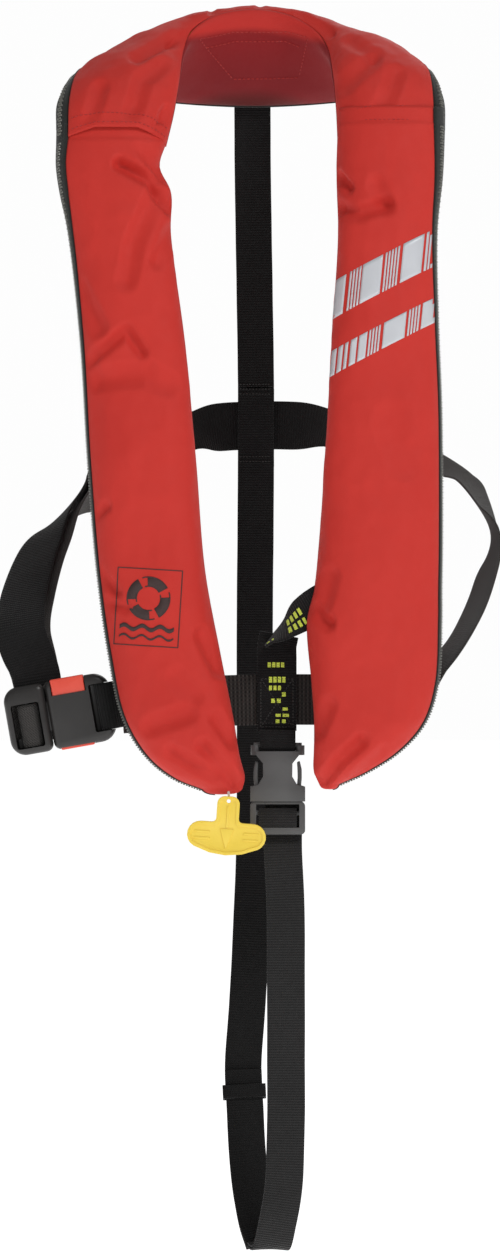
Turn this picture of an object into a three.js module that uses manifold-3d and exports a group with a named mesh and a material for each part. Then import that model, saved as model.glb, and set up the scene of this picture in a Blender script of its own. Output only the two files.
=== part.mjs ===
// Inflatable life jacket, hung up and closed as if worn. Millimetres, +Z up, -Y is the wearer's front.
// The origin is the middle of the neck opening, level with the inside of the collar.
import * as THREE from "three";
import { mergeVertices } from "three/addons/utils/BufferGeometryUtils.js";
import Module from "manifold-3d";

const wasm = await Module();
wasm.setup();

// Driving dimensions
const GAP = 0.4; // clearance between separate pieces
const CLOTH = 2; // cover cloth with its lining
const FULLNESS = 2.4; // exponent of the lobe sections: 2 is an ellipse, more is squarer
const BELT = 40; // width of the waist belt
const STRAP = 30; // width of the back, lift and crotch webbing
const WEB = 1.8; // webbing thickness
const LAYER = 2.6; // pitch of two webbing layers that lie on each other
const LEVER_ARM = 32; // pivot to lanyard hole
const CYLINDER_R = 13;
const CYLINDER_LENGTH = 118;

const jacket = new THREE.Group();

const v3 = (x, y, z) => new THREE.Vector3(x, y, z);
const rad = THREE.MathUtils.degToRad;

// ---------------------------------------------------------------- materials

const finishes = {
  cover: [0xbe322d, 0.75, 0],
  lining: [0x8e2226, 0.8, 0],
  webbing: [0x181818, 0.9, 0],
  belt: [0x3c3a37, 0.85, 0],
  zip: [0x2a2c2a, 0.7, 0],
  dark_plastic: [0x3c3a38, 0.5, 0],
  grey_plastic: [0x555555, 0.5, 0],
  red_plastic: [0xde483e, 0.4, 0],
  yellow_plastic: [0xf3d44e, 0.4, 0],
  white_cord: [0xe8e8e4, 0.8, 0],
  bladder: [0xe0a020, 0.6, 0],
  steel: [0xb0b4b8, 0.35, 1],
  green_steel: [0x3f7a4c, 0.4, 0.6],
  rubber: [0x202020, 0.8, 0],
};

function finish(name) {
  const [color, roughness, metalness] = finishes[name];
  return new THREE.MeshStandardMaterial({ color, roughness, metalness });
}

// Adds a piece to the jacket under its own name.
function piece(name, geometry, look, parent = jacket) {
  const mesh = new THREE.Mesh(geometry, finish(look));
  mesh.name = name;
  parent.add(mesh);
  return mesh;
}

// ---------------------------------------------------------------- solids

// Gives a geometry's triangles to the boolean library as one solid.
function solid(geometry) {
  const bare = geometry.clone();
  bare.deleteAttribute("normal");
  bare.deleteAttribute("uv");
  const merged = mergeVertices(bare, 1e-4);
  return new wasm.Manifold(
    new wasm.Mesh({
      numProp: 3,
      vertProperties: merged.attributes.position.array,
      triVerts: new Uint32Array(merged.index.array),
    }),
  );
}

function geometryOf(manifold) {
  const made = manifold.getMesh();
  const geometry = new THREE.BufferGeometry();
  geometry.setAttribute("position", new THREE.BufferAttribute(made.vertProperties, 3));
  geometry.setIndex(new THREE.BufferAttribute(made.triVerts, 1));
  return geometry;
}

// A box between two corners.
function block(low, high) {
  const size = high.map((value, i) => value - low[i]);
  const middle = high.map((value, i) => (value + low[i]) / 2);
  return solid(new THREE.BoxGeometry(...size).translate(...middle));
}

// A cylinder from one point to another.
function rod(from, to, radius, sides = 16, endRadius = radius) {
  const start = v3(...from);
  const along = v3(...to).sub(start);
  const made = new THREE.CylinderGeometry(endRadius, radius, along.length(), sides);
  made.translate(0, along.length() / 2, 0);
  made.applyQuaternion(new THREE.Quaternion().setFromUnitVectors(v3(0, 1, 0), along.normalize()));
  return solid(made.translate(start.x, start.y, start.z));
}

// A rectangle with rounded corners in the X-Z plane, extruded along Y between two depths.
function plate(low, high, radius, front, back) {
  const [x0, z0] = low;
  const [x1, z1] = high;
  const shape = new THREE.Shape();
  shape.absarc(x1 - radius, z1 - radius, radius, 0, Math.PI / 2);
  shape.absarc(x0 + radius, z1 - radius, radius, Math.PI / 2, Math.PI);
  shape.absarc(x0 + radius, z0 + radius, radius, Math.PI, 1.5 * Math.PI);
  shape.absarc(x1 - radius, z0 + radius, radius, 1.5 * Math.PI, 2 * Math.PI);
  return slab(shape, front, back);
}

// Any outline drawn in the X-Z plane, extruded along Y from front to back.
function slab(shape, front, back) {
  const options = { depth: back - front, bevelEnabled: false, curveSegments: 4 };
  const made = new THREE.ExtrudeGeometry(shape, options);
  made.rotateX(Math.PI / 2);
  return solid(made.translate(0, back, 0));
}

function signedVolume(position, index) {
  const corner = (i) => v3(position[3 * i], position[3 * i + 1], position[3 * i + 2]);
  let sum = 0;
  for (let i = 0; i < index.length; i += 3) {
    sum += corner(index[i]).dot(corner(index[i + 1]).cross(corner(index[i + 2])));
  }
  return sum;
}

// Skins a run of closed outlines. A ring holds the flat outline and the same points in space.
function loft(rings) {
  const turned = rings.map(({ flat, points }) =>
    THREE.ShapeUtils.isClockWise(flat)
      ? { flat: flat.toReversed(), points: points.toReversed() }
      : { flat, points },
  );
  const count = turned[0].flat.length;
  const last = (turned.length - 1) * count;
  const position = turned.flatMap((ring) => ring.points.flatMap((p) => [p.x, p.y, p.z]));
  const index = [];
  for (let row = 0; row < last; row += count) {
    for (let i = 0; i < count; i++) {
      const a = row + i;
      const b = row + ((i + 1) % count);
      index.push(a, b, a + count, b, b + count, a + count);
    }
  }
  for (const [i, j, k] of THREE.ShapeUtils.triangulateShape(turned[0].flat, [])) {
    index.push(k, j, i);
  }
  for (const [i, j, k] of THREE.ShapeUtils.triangulateShape(turned.at(-1).flat, [])) {
    index.push(last + i, last + j, last + k);
  }
  if (signedVolume(position, index) < 0) index.reverse();
  const geometry = new THREE.BufferGeometry();
  geometry.setAttribute("position", new THREE.Float32BufferAttribute(position, 3));
  geometry.setIndex(index);
  return geometry;
}

// A flat band through points, each row being its place and the direction its width lies in.
// A band that twists is made of several strips side by side, so that its facets stay nearly flat.
function webbing(rows, width, steps, shift = 0, strips = 1) {
  const edges = Array.from({ length: strips + 1 }, (_, i) => (2 * i) / strips - 1);
  const corners = [...edges.map((u) => [u, -1]), ...edges.toReversed().map((u) => [u, 1])];
  const route = new THREE.CatmullRomCurve3(rows.map((row) => v3(...row.slice(0, 3))));
  const lean = new THREE.CatmullRomCurve3(rows.map((row) => v3(...row.slice(3))));
  const rings = [];
  for (let i = 0; i <= steps; i++) {
    const along = route.getTangent(i / steps);
    const across = lean.getPoint(i / steps);
    across.addScaledVector(along, -across.dot(along)).normalize();
    const out = along.clone().cross(across);
    const middle = route.getPoint(i / steps).addScaledVector(out, shift);
    const flat = corners.map(([u, n]) => new THREE.Vector2((u * width) / 2, (n * WEB) / 2));
    const points = flat.map((p) =>
      middle.clone().addScaledVector(across, p.x).addScaledVector(out, p.y),
    );
    rings.push({ flat, points });
  }
  return loft(rings);
}

// A cord: a round section swept through points.
function cord(rows, radius, steps) {
  const route = new THREE.CatmullRomCurve3(rows.map((row) => v3(...row)));
  const section = new THREE.Shape();
  section.absarc(0, 0, radius, 0, 2 * Math.PI);
  const options = { extrudePath: route, steps, curveSegments: 4, bevelEnabled: false };
  return new THREE.ExtrudeGeometry(section, options);
}

class Helix extends THREE.Curve {
  constructor(radius, turns, height) {
    super();
    Object.assign(this, { radius, turns, height });
  }
  getPoint(t, target = v3(0, 0, 0)) {
    const angle = 2 * Math.PI * this.turns * t;
    return target.set(this.radius * Math.cos(angle), this.radius * Math.sin(angle), this.height * t);
  }
}

// A compression spring standing on the X-Y plane, wire ends included in its height.
function coil(radius, wire, turns, height) {
  const section = new THREE.Shape();
  section.absarc(0, 0, wire / 2, 0, 2 * Math.PI);
  const helix = new Helix(radius, turns, height - wire);
  const steps = Math.round(turns * 12);
  const options = { extrudePath: helix, steps, curveSegments: 2, bevelEnabled: false };
  return new THREE.ExtrudeGeometry(section, options).translate(0, 0, wire / 2);
}

// ---------------------------------------------------------------- the cover and what it holds

// Each row is a cross-section of the folded tube. A lobe's rows are level cuts:
// height, inner edge x, outer edge x, middle y, fullness in front, fullness behind, zip half-angle.
const LEFT_LOBE = [
  [-586, -6, -38, -90, 10, 9, 20],
  [-577, -4, -60, -91, 17, 15, 20],
  [-560, -8, -81, -93, 23, 20, 20],
  [-530, -13, -99, -94, 27, 24, 20],
  [-480, -23, -110, -94, 27, 24, 20],
  [-415, -35, -119, -94, 27, 24, 20],
  [-330, -42, -126, -93, 27, 24, 20],
  [-235, -51, -132, -90, 27, 24, 22],
  [-150, -62, -142, -84, 26, 22, 28],
  [-118, -62, -149, -79, 26, 22, 36],
  [-97, -71, -152, -75, 26, 21, 40],
  [-78, -66, -152, -70, 25, 20, 42],
];
const RIGHT_LOBE = [
  [-582, 54, 70, -90, 10, 9, 20],
  [-572, 50, 92, -91, 18, 16, 20],
  [-555, 50, 118, -93, 23, 20, 20],
  [-533, 50, 137, -94, 26, 23, 20],
  [-503, 48, 146.5, -94, 27, 24, 20],
  [-455, 44.5, 149, -94, 27, 24, 20],
  [-430, 50, 149, -94, 27, 24, 20],
  [-391, 54, 149.5, -94, 27, 24, 20],
  [-292, 61, 149, -92, 27, 24, 20],
  [-219, 65, 146.5, -89, 27, 24, 22],
  [-150, 69, 146, -84, 26, 22, 28],
  [-105, 68, 151, -77, 26, 22, 36],
  [-65, 69, 153, -70, 25, 20, 42],
];

// The collar's rows turn over the shoulders: inner edge, outer edge, outside direction,
// fullness outside, fullness inside, zip half-angle.
const COLLAR = [
  [[-66, -70, -77], [-152, -70, -73], [0, -1, 0.08], 25, 20, 42],
  [[-60, -61, -52], [-152, -60, -50], [-0.05, -0.92, 0.35], 25, 18, 42],
  [[-56, -42, -24], [-145, -38, -36], [-0.15, -0.6, 0.78], 25, 16, 40],
  [[-53, -12, 4], [-128, 5, -24], [-0.25, -0.1, 1], 25, 14, 34],
  [[-46, 10, 24], [-98, 46, -24], [-0.3, 0.3, 0.9], 25, 13, 26],
  [[-27, 22, 38], [-56, 68, -27], [-0.15, 0.6, 0.8], 26, 12, 20],
  [[2, 25, 43], [2, 75, -29], [0, 0.68, 0.74], 27, 12, 20],
  [[31, 22, 38], [60, 68, -27], [0.15, 0.6, 0.8], 26, 12, 20],
  [[52, 10, 24], [102, 46, -24], [0.3, 0.3, 0.9], 25, 13, 26],
  [[62, -12, 6], [131, 5, -21], [0.25, -0.1, 1], 25, 14, 34],
  [[66, -42, -20], [147, -38, -31], [0.15, -0.6, 0.78], 25, 16, 40],
  [[68, -61, -44], [153, -60, -43], [0.05, -0.92, 0.35], 25, 18, 42],
  [[69, -70, -64.5], [153, -70, -61], [0, -1, 0.08], 25, 20, 42],
];

const lobeRows = (rows) =>
  rows.map(([z, inner, outer, y, front, back, zip]) => [
    [inner, y, z],
    [outer, y, z],
    [0, -1, 0],
    front,
    back,
    zip,
  ]);

// Smooth sections between the rows. at(t) gives the frame and the shape of one section.
function tube(rows) {
  const curve = (pick) => new THREE.CatmullRomCurve3(rows.map((row) => v3(...pick(row))));
  const inner = curve((row) => row[0]);
  const outer = curve((row) => row[1]);
  const outside = curve((row) => row[2]);
  const shape = curve((row) => row.slice(3));
  return function at(t) {
    const from = inner.getPoint(t);
    const to = outer.getPoint(t);
    const across = to.clone().sub(from).normalize();
    const out = outside.getPoint(t);
    out.addScaledVector(across, -out.dot(across)).normalize();
    const [front, back, zip] = shape.getPoint(t).toArray();
    const middle = from.clone().add(to).multiplyScalar(0.5);
    return { middle, across, out, half: from.distanceTo(to) / 2, front, back, zip: rad(zip) };
  };
}

// A point of the section's rounded outline, seen from the section's middle.
function rim(section, angle, inset) {
  const reach = Math.abs(Math.cos(angle)) ** (2 / FULLNESS) * (section.half - inset);
  const depth = Math.sin(angle) > 0 ? section.front : section.back;
  const rise = Math.abs(Math.sin(angle)) ** (2 / FULLNESS) * (depth - inset);
  return new THREE.Vector2(Math.sign(Math.cos(angle)) * reach, Math.sign(Math.sin(angle)) * rise);
}

function ring(section, flat) {
  const { middle, across, out } = section;
  const points = flat.map((p) =>
    middle.clone().addScaledVector(across, p.x).addScaledVector(out, p.y),
  );
  return { flat, points };
}

// Angles from one edge to the other, closer together near both ends.
const spread = (from, to, count) =>
  Array.from({ length: count + 1 }, (_, i) => {
    const eased = (1 - Math.cos((Math.PI * i) / count)) / 2;
    return THREE.MathUtils.lerp(from, to, eased);
  });

// A wall of the tube between two angles of its sections.
function wall(at, span, steps, angles, thickness) {
  const rings = [];
  for (let i = 0; i <= steps; i++) {
    const section = at(THREE.MathUtils.lerp(span[0], span[1], i / steps));
    const around = angles(section);
    const face = around.map((angle) => rim(section, angle, 0));
    const lining = around.toReversed().map((angle) => rim(section, angle, thickness));
    rings.push(ring(section, [...face, ...lining]));
  }
  return loft(rings);
}

const SEAM = rad(0.5); // where the two panels meet at the inner edge
const ZIP_GAP = rad(1.2);
const frontPanel = (section) => spread(section.zip, Math.PI - SEAM, 10);
const backPanel = (section) => spread(-section.zip, SEAM - Math.PI, 8);
const zipBand = (section) => spread(ZIP_GAP - section.zip, section.zip - ZIP_GAP, 6);

// The folded chamber: a pad inside the tube, its front kept behind the fittings.
function bladder(at, span, steps, top) {
  const rings = [];
  for (let i = 0; i <= steps; i++) {
    const section = at(THREE.MathUtils.lerp(span[0], span[1], i / steps));
    const low = 5 - section.back;
    const rise = (top - low) / 2;
    const level = Math.min(low + rise, 0);
    const share = (-level / (section.back - CLOTH)) ** FULLNESS;
    const reach = (section.half - CLOTH) * (1 - share) ** (1 / FULLNESS) - 3;
    const flat = [];
    for (let k = 0; k < 12; k++) {
      const angle = (2 * Math.PI * k) / 12;
      flat.push(new THREE.Vector2(reach * Math.cos(angle), low + rise + rise * Math.sin(angle)));
    }
    rings.push(ring(section, flat));
  }
  return loft(rings);
}

const leftLobe = tube(lobeRows(LEFT_LOBE));
const rightLobe = tube(lobeRows(RIGHT_LOBE));
const collar = tube(COLLAR);

const LOBE_FITTING_LEVEL = -8.5; // the chamber lies behind this in the lobes, towards the wearer
piece("cover_front_left", wall(leftLobe, [0, 0.996], 17, frontPanel, CLOTH), "cover");
piece("cover_back_left", wall(leftLobe, [0, 0.996], 14, backPanel, CLOTH), "lining");
piece("burst_zip_left", wall(leftLobe, [0.01, 0.995], 14, zipBand, CLOTH), "zip");
piece("bladder_left", bladder(leftLobe, [0.2, 0.99], 10, LOBE_FITTING_LEVEL), "bladder");
piece("cover_front_right", wall(rightLobe, [0, 0.996], 18, frontPanel, CLOTH), "cover");
piece("cover_back_right", wall(rightLobe, [0, 0.996], 14, backPanel, CLOTH), "lining");
piece("burst_zip_right", wall(rightLobe, [0.01, 0.995], 14, zipBand, CLOTH), "zip");
piece("bladder_right", bladder(rightLobe, [0.2, 0.99], 10, LOBE_FITTING_LEVEL), "bladder");
piece("cover_collar", wall(collar, [0, 1], 28, frontPanel, CLOTH), "cover");
piece("cover_back_collar", wall(collar, [0, 1], 24, backPanel, CLOTH), "lining");
piece("burst_zip_collar", wall(collar, [0.002, 0.998], 24, zipBand, CLOTH), "zip");
piece("bladder_collar", bladder(collar, [0.01, 0.99], 20, 12), "bladder");

// The zip's slider, parked at the back of the collar on the edge's outer side.
const SLIDER_AT = 0.56;
const parked = collar(SLIDER_AT);
const beside = collar(SLIDER_AT + 0.01).middle.sub(parked.middle).normalize();
const slider = new THREE.Group();
slider.position
  .copy(parked.middle)
  .addScaledVector(parked.across, 0.84 * parked.half)
  .addScaledVector(parked.out, 0.55 * parked.front + 9.5);
slider.quaternion.setFromRotationMatrix(
  new THREE.Matrix4().makeBasis(
    beside,
    parked.across.clone().negate(),
    beside.clone().cross(parked.across).negate(),
  ),
);
jacket.add(slider);
const sliderBody = block([-6, -2.5, -4], [6, 2.5, 4]).add(block([2, -9, -1], [5, -2, 1]));
piece("zip_slider", geometryOf(sliderBody), "steel", slider);

// ---------------------------------------------------------------- webbing

const SEW_Y = -63; // the belt runs behind both lobes
const FRONT_BELT_Z = -516.5;

piece(
  "belt_front",
  webbing(
    [
      [-101, -72, -523, 0, 0, 1],
      [-80, -66.5, -521, 0, 0, 1],
      [-40, SEW_Y, -518, 0, 0, 1],
      [20, SEW_Y, FRONT_BELT_Z, 0, 0, 1],
      [80, SEW_Y, -515.5, 0, 0, 1],
      [118, -61, -509, 0.1, 0, 1],
    ],
    BELT,
    12,
  ),
  "webbing",
);
piece(
  "belt_right",
  webbing(
    [
      [126, -60.5, -504, 0.05, 0.25, 1],
      [136, -61.5, -497.5, -0.05, 0.55, 0.8],
      [148, -61.5, -488, -0.2, 0.88, 0.35],
      [160, -59.5, -476, -0.25, 0.95, 0.15],
      [176, -53, -449, -0.28, 0.95, 0.1],
      [188, -38, -418, -0.28, 0.95, 0.05],
      [194, -20, -393, -0.12, 0.98, 0],
      [191, 3, -371, 0.2, 0.97, 0.05],
      [179, 35, -344, 0.25, 0.93, 0.15],
      [169, 49, -335, 0.2, 0.92, 0.25],
      [156, 59, -328, 0.1, 0.88, 0.42],
      [126, 74, -315, 0, 0.7, 0.72],
    ],
    BELT,
    36,
    0,
    4,
  ),
  "belt",
);
piece(
  "belt_back",
  webbing(
    [
      [119, 76, -312, 0, 0.7, 0.72],
      [66, 87, -295, 0, 0.62, 0.78],
      [30, 92.8, -292, 0, 0, 1],
      [5, 93.5, -292, 0, 0, 1],
      [-20, 93, -293, 0, 0, 1],
      [-48, 88, -297, 0, 0.62, 0.78],
      [-90, 79, -311, -0.1, 0.5, 0.85],
      [-112, 72, -324, -0.3, 0.2, 0.95],
    ],
    BELT,
    26,
    0,
    4,
  ),
  "webbing",
);
const LEFT_RUN = [
  [-113, 64, -341, 0.45, 0.1, 0.9],
  [-131, 52, -352, 0.6, 0, 0.8],
  [-150, 26, -373, 0.72, -0.1, 0.68],
  [-163, 5, -397, 0.85, -0.1, 0.45],
  [-174.5, -36, -438, 0.95, -0.15, 0.25],
  [-177, -58, -466, 0.98, -0.2, 0.1],
  [-174, -66, -499, 1, -0.2, 0],
];
piece("belt_left_run", webbing(LEFT_RUN, BELT, 28, 0, 4), "belt");
// The tail lies behind the run, moved sideways along the run's width by these amounts.
const TAIL_OFFSET = [0, 2, 4, 6, 5, 3, 1];
const LEFT_TAIL = LEFT_RUN.map(([x, y, z, ...lean], i) => [
  x - TAIL_OFFSET[i] * lean[0],
  y - TAIL_OFFSET[i] * lean[1],
  z - TAIL_OFFSET[i] * lean[2],
  ...lean,
]);
piece("belt_left_tail", webbing(LEFT_TAIL, BELT, 28, 5, 4), "webbing");

piece(
  "back_strap",
  webbing(
    [
      [2, 79, -32, 1, 0, 0],
      [2.5, 84, -100, 1, 0, 0],
      [4, 88, -190, 1, 0, 0],
      [5, 89.5, -260, 1, 0, 0],
    ],
    STRAP,
    10,
  ),
  "webbing",
);
piece(
  "belt_loop",
  webbing(
    [
      [5, 94, -258, 1, 0, 0],
      [5, 98.4, -270, 1, 0, 0],
      [5, 98.4, -314, 1, 0, 0],
      [5, 94, -326, 1, 0, 0],
    ],
    STRAP,
    8,
  ),
  "webbing",
);

// The crotch strap: down the back, round the loop, up the front to the ladder lock.
const HEM_POINT = [-5.5, 39, -821, 1, 0, 0];
const REAR_END = [-2.5, 19, -882, 1, 0, 0];
const KEEPER_AXIS = v3(...REAR_END.slice(0, 3)).sub(v3(...HEM_POINT.slice(0, 3))).normalize();
const REAR_RUN = [
  [5, 89.5, -262, 1, 0, 0],
  [5, 89.8, -330, 1, 0, 0],
  [4, 89, -450, 1, 0, 0],
  [4, 83, -580, 1, 0, 0],
  [3, 70.5, -660, 1, 0, 0],
  [-2, 52, -764, 1, 0, 0],
  HEM_POINT,
  [-4, 29, -851.5, 1, 0, 0],
  REAR_END,
];
const LOOP = [
  REAR_END,
  [0.5, 8.5, -910, 1, 0, 0],
  [5.5, -2, -938, 1, 0.05, 0],
  [11.5, -14, -955, 1, 0.05, 0],
  [17, -27, -955, 1, 0.05, 0],
  [22, -38, -934, 1, 0.05, 0],
  [27, -46, -900, 1, 0, 0],
];
const FRONT_RUN = [
  [27, -46, -900, 1, 0, 0],
  [28.4, -53, -850, 1, 0, 0],
  [28.4, -61, -760, 1, 0, 0],
  [28, -68, -680, 1, 0, 0],
  [26.5, -71.5, -628, 1, 0, 0],
];
piece("crotch_strap_rear", webbing(REAR_RUN, STRAP, 20), "webbing");
const trimmed = (rows, first, last) => {
  const route = new THREE.CatmullRomCurve3(rows.map((row) => v3(...row.slice(0, 3))));
  const out = rows.map((row) => row.slice());
  out[0].splice(0, 3, ...route.getPoint(first).toArray());
  out.at(-1).splice(0, 3, ...route.getPoint(last).toArray());
  return out;
};
piece("crotch_strap_loop", webbing(trimmed(LOOP, 0.015, 0.985), STRAP, 18), "webbing");
piece("crotch_strap_front", webbing(FRONT_RUN, STRAP, 10), "webbing");
const tailRoute = [HEM_POINT, REAR_RUN.at(-2), ...LOOP, ...FRONT_RUN.slice(1)];
piece("crotch_strap_tail", webbing(tailRoute, STRAP, 40, LAYER), "webbing");

// The keeper is a flat ring round the rear run and the tail.
const keeper = new THREE.Group();
keeper.position.copy(v3(...HEM_POINT.slice(0, 3)).addScaledVector(KEEPER_AXIS, 18));
const keeperSide = v3(1, 0, 0);
keeperSide.addScaledVector(KEEPER_AXIS, -keeperSide.dot(KEEPER_AXIS)).normalize();
const keeperOut = KEEPER_AXIS.clone().negate().cross(keeperSide);
keeper.quaternion.setFromRotationMatrix(
  new THREE.Matrix4().makeBasis(keeperSide, keeperOut, KEEPER_AXIS.clone().negate()),
);
jacket.add(keeper);
const keeperRing = block([-17.6, -6.2, -5.5], [17.6, 3.6, 5.5]).subtract(
  block([-15.8, -4.4, -6], [15.8, 1.8, 6]),
);
piece("crotch_keeper", geometryOf(keeperRing), "webbing", keeper);

// The lift strap comes out of the right lobe, folds down and is sewn over the belt.
const LIFT_X = 21.2;
const LIFT_FRONT = -67.5;
piece(
  "lift_strap_lower",
  geometryOf(
    block([LIFT_X - 15.5, LIFT_FRONT, -540], [LIFT_X + 15.5, LIFT_FRONT + WEB, -484.4]),
  ),
  "webbing",
);
piece(
  "lift_strap_upper",
  webbing(
    [
      [LIFT_X, LIFT_FRONT + WEB / 2, -482, 1, 0, 0],
      [20.4, -67.4, -474, 0.95, 0, 0],
      [24, -73, -463, 0.75, 0, -0.65],
      [32, -80, -454, 0.5, -0.1, -0.86],
      [39.5, -87, -450, 0.25, -0.2, -0.95],
    ],
    STRAP - 4,
    12,
  ),
  "webbing",
);

// ---------------------------------------------------------------- crotch buckle

const LATCH_X = 21.8; // middle of the buckle
const LATCH_Y = -70; // middle of its thickness
const LOCK_TOP = -557;
const LOCK_BOTTOM = -596.4;
const TOP_BAR = -552.4;
const LADDER_BAR = -606;
const latchBlock = (half, depth, low, high) =>
  block([LATCH_X - half, LATCH_Y - depth, low], [LATCH_X + half, LATCH_Y + depth, high]);

// A piece of webbing folded round a bar that lies along X.
function fold(barZ, bore, legs, width, middle) {
  const outer = bore + WEB;
  const [low, high] = legs;
  const sleeve = rod([-width / 2, 0, barZ], [width / 2, 0, barZ], outer, 16);
  const body = sleeve.add(block([-width / 2, -outer, low], [width / 2, outer, high]));
  const hole = rod([-width, 0, barZ], [width, 0, barZ], bore, 16);
  const between = block([-width, -bore, low - 1], [width, bore, high + 1]);
  const opened = low < barZ - outer ? block([-width, -bore, low - 1], [width, bore, barZ]) : between;
  return body.subtract(hole).subtract(opened).translate(middle[0], middle[1], 0);
}

// The tab hangs from the lift strap and closes round the buckle's top bar.
const tab = fold(TOP_BAR, 2.7, [-554, -540.4], STRAP - 2, [LATCH_X, LATCH_Y]);
const tabTop = block(
  [LATCH_X - 14, LATCH_Y - 4.5, -543],
  [LATCH_X + 14, LATCH_Y + 4.5, -540.4],
);
piece("crotch_tab", geometryOf(tab.add(tabTop)), "webbing");

function lockOutline() {
  const half = [
    [17.4, LOCK_TOP],
    [17.2, -559.5],
    [11.6, -566.5],
    [11.4, -577],
    [15, -583],
    [21.6, -585],
    [21.6, LOCK_BOTTOM],
  ];
  const shape = new THREE.Shape();
  half.forEach(([x, z], i) => shape[i ? "lineTo" : "moveTo"](LATCH_X - x, z));
  half.toReversed().forEach(([x, z]) => shape.lineTo(LATCH_X + x, z));
  return shape;
}

function crotchBuckleBody() {
  let body = slab(lockOutline(), LATCH_Y - 6, LATCH_Y + 6);
  for (const side of [-1, 1]) {
    const ear = rod(
      [LATCH_X + side * 17.6, LATCH_Y, -560],
      [LATCH_X + side * 17.6, LATCH_Y, TOP_BAR],
      3.6,
      12,
    );
    body = body.add(ear);
  }
  body = body.add(rod([LATCH_X - 19, LATCH_Y, TOP_BAR], [LATCH_X + 19, LATCH_Y, TOP_BAR], 2.2, 12));
  const mouth = latchBlock(19.4, 3.6, -600, -586.6);
  const throat = latchBlock(9, 3.6, -600, -562);
  const slots = latchBlock(20.2, 3.6, -590, -580).subtract(latchBlock(14.4, 5, -592, -578));
  return body.subtract(mouth).subtract(throat).subtract(slots);
}
piece("crotch_buckle_body", geometryOf(crotchBuckleBody()), "grey_plastic");

function crotchBuckleLatch() {
  const low = -622.4;
  const frame = plate([LATCH_X - 21.6, low], [LATCH_X + 21.6, LOCK_BOTTOM - GAP], 3.5,
    LATCH_Y - 4.6, LATCH_Y + 4.6);
  const opening = latchBlock(17, 6, low + 5.4, LOCK_BOTTOM - 2.2);
  const bar = rod([LATCH_X - 18, LATCH_Y, LADDER_BAR], [LATCH_X + 18, LATCH_Y, LADDER_BAR], 2.2, 12);
  const base = latchBlock(10.8, 3.2, LOCK_BOTTOM - 2.2, -588);
  const guide = latchBlock(4, 3, -590, -565);
  return frame.subtract(opening).add(bar).add(base).add(guide);
}
piece("crotch_buckle_latch", geometryOf(crotchBuckleLatch()), "grey_plastic");

// Each prong bows out beside the body and clicks behind its shoulder.
for (const [name, side] of [["latch_prong_left", -1], ["latch_prong_right", 1]]) {
  const outline = new THREE.Shape();
  const edge = [
    [11.4, -593.4],
    [17.8, -593.4],
    [18.4, -586],
    [19, -578],
    [18.9, -571],
    [17.4, -564.6],
    [15.2, -565.6],
    [15.6, -572],
    [15.7, -578],
    [15, -586.4],
    [11.4, -588.4],
  ];
  edge.forEach(([x, z], i) => outline[i ? "lineTo" : "moveTo"](LATCH_X + side * x, z));
  piece(name, geometryOf(slab(outline, LATCH_Y - 3, LATCH_Y + 3)), "grey_plastic");
}

piece(
  "crotch_wrap",
  geometryOf(fold(LADDER_BAR, 2.7, [-616.4, LADDER_BAR], STRAP, [LATCH_X, LATCH_Y])),
  "webbing",
);

// ---------------------------------------------------------------- safety buckle

// Built lying along X about its own middle, then rolled into place beside the left lobe.
const buckle = new THREE.Group();
buckle.position.set(-148.8, -83, -527.6);
buckle.rotation.y = rad(-10);
jacket.add(buckle);
const BUCKLE_DEPTH = 8;
const HALF_HEIGHT = 27;

function buckleBody() {
  let body = plate([-8.6, -HALF_HEIGHT], [42, HALF_HEIGHT], 8, -BUCKLE_DEPTH, BUCKLE_DEPTH);
  body = body.add(block([-8.6, -BUCKLE_DEPTH, -HALF_HEIGHT], [4, BUCKLE_DEPTH, HALF_HEIGHT]));
  body = body.subtract(block([-10, -4.2, -12], [22, 4.2, 12]));
  body = body.subtract(block([25.5, -10, -20.6], [50, 10, 20.6]));
  body = body.add(rod([35.4, 0, -23], [35.4, 0, 23], 2.6, 12));
  for (const side of [-1, 1]) {
    const [low, high] = side > 0 ? [14.6, 31] : [-31, -14.6];
    body = body.subtract(block([-4, -10, low], [23.4, 5.8, high]));
  }
  return body;
}
piece("buckle_body", geometryOf(buckleBody()), "dark_plastic", buckle);

function buckleTongue() {
  const frame = plate([-42, -HALF_HEIGHT], [-9.2, HALF_HEIGHT], 8, -7, 7);
  const square = block([-16, -7, -HALF_HEIGHT], [-9.2, 7, HALF_HEIGHT]);
  const slot = block([-36.6, -10, -20.6], [-16.4, 10, 20.6]);
  const bar = rod([-26, 0, -23], [-26, 0, 23], 2.6, 12);
  const tongue = block([-10, -3.6, -11.3], [20, 3.6, 11.3]);
  const catches = block([8, -5, -13], [13, 5, -8]).add(block([8, -5, 8], [13, 5, 13]));
  return frame.add(square).subtract(slot).add(bar).add(tongue).subtract(catches);
}
piece("buckle_tongue", geometryOf(buckleTongue()), "dark_plastic", buckle);

for (const [name, side] of [["button_top", 1], ["button_bottom", -1]]) {
  const [low, high] = side > 0 ? [18.4, HALF_HEIGHT + 0.4] : [-HALF_HEIGHT - 0.4, -18.4];
  const button = block([-3.5, -BUCKLE_DEPTH, low], [22.9, 5.3, high]);
  piece(name, geometryOf(button), "red_plastic", buckle);
  const spring = piece(`${name}_spring`, coil(3, 0.8, 2, 3.2), "steel", buckle);
  spring.position.set(10, 0, side > 0 ? 14.9 : -18.1);
}

// Webbing wound round an upright bar of the safety buckle.
function sleeve(x, half) {
  const outer = rod([x, 0, -half], [x, 0, half], 5, 20);
  return outer.subtract(rod([x, 0, -half - 1], [x, 0, half + 1], 3.1, 12));
}
piece("adjuster_wrap", geometryOf(sleeve(-26, 19.6)), "belt", buckle);
piece("belt_end_wrap", geometryOf(sleeve(35.4, 19.6)), "webbing", buckle);

// ---------------------------------------------------------------- pull handle

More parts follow.
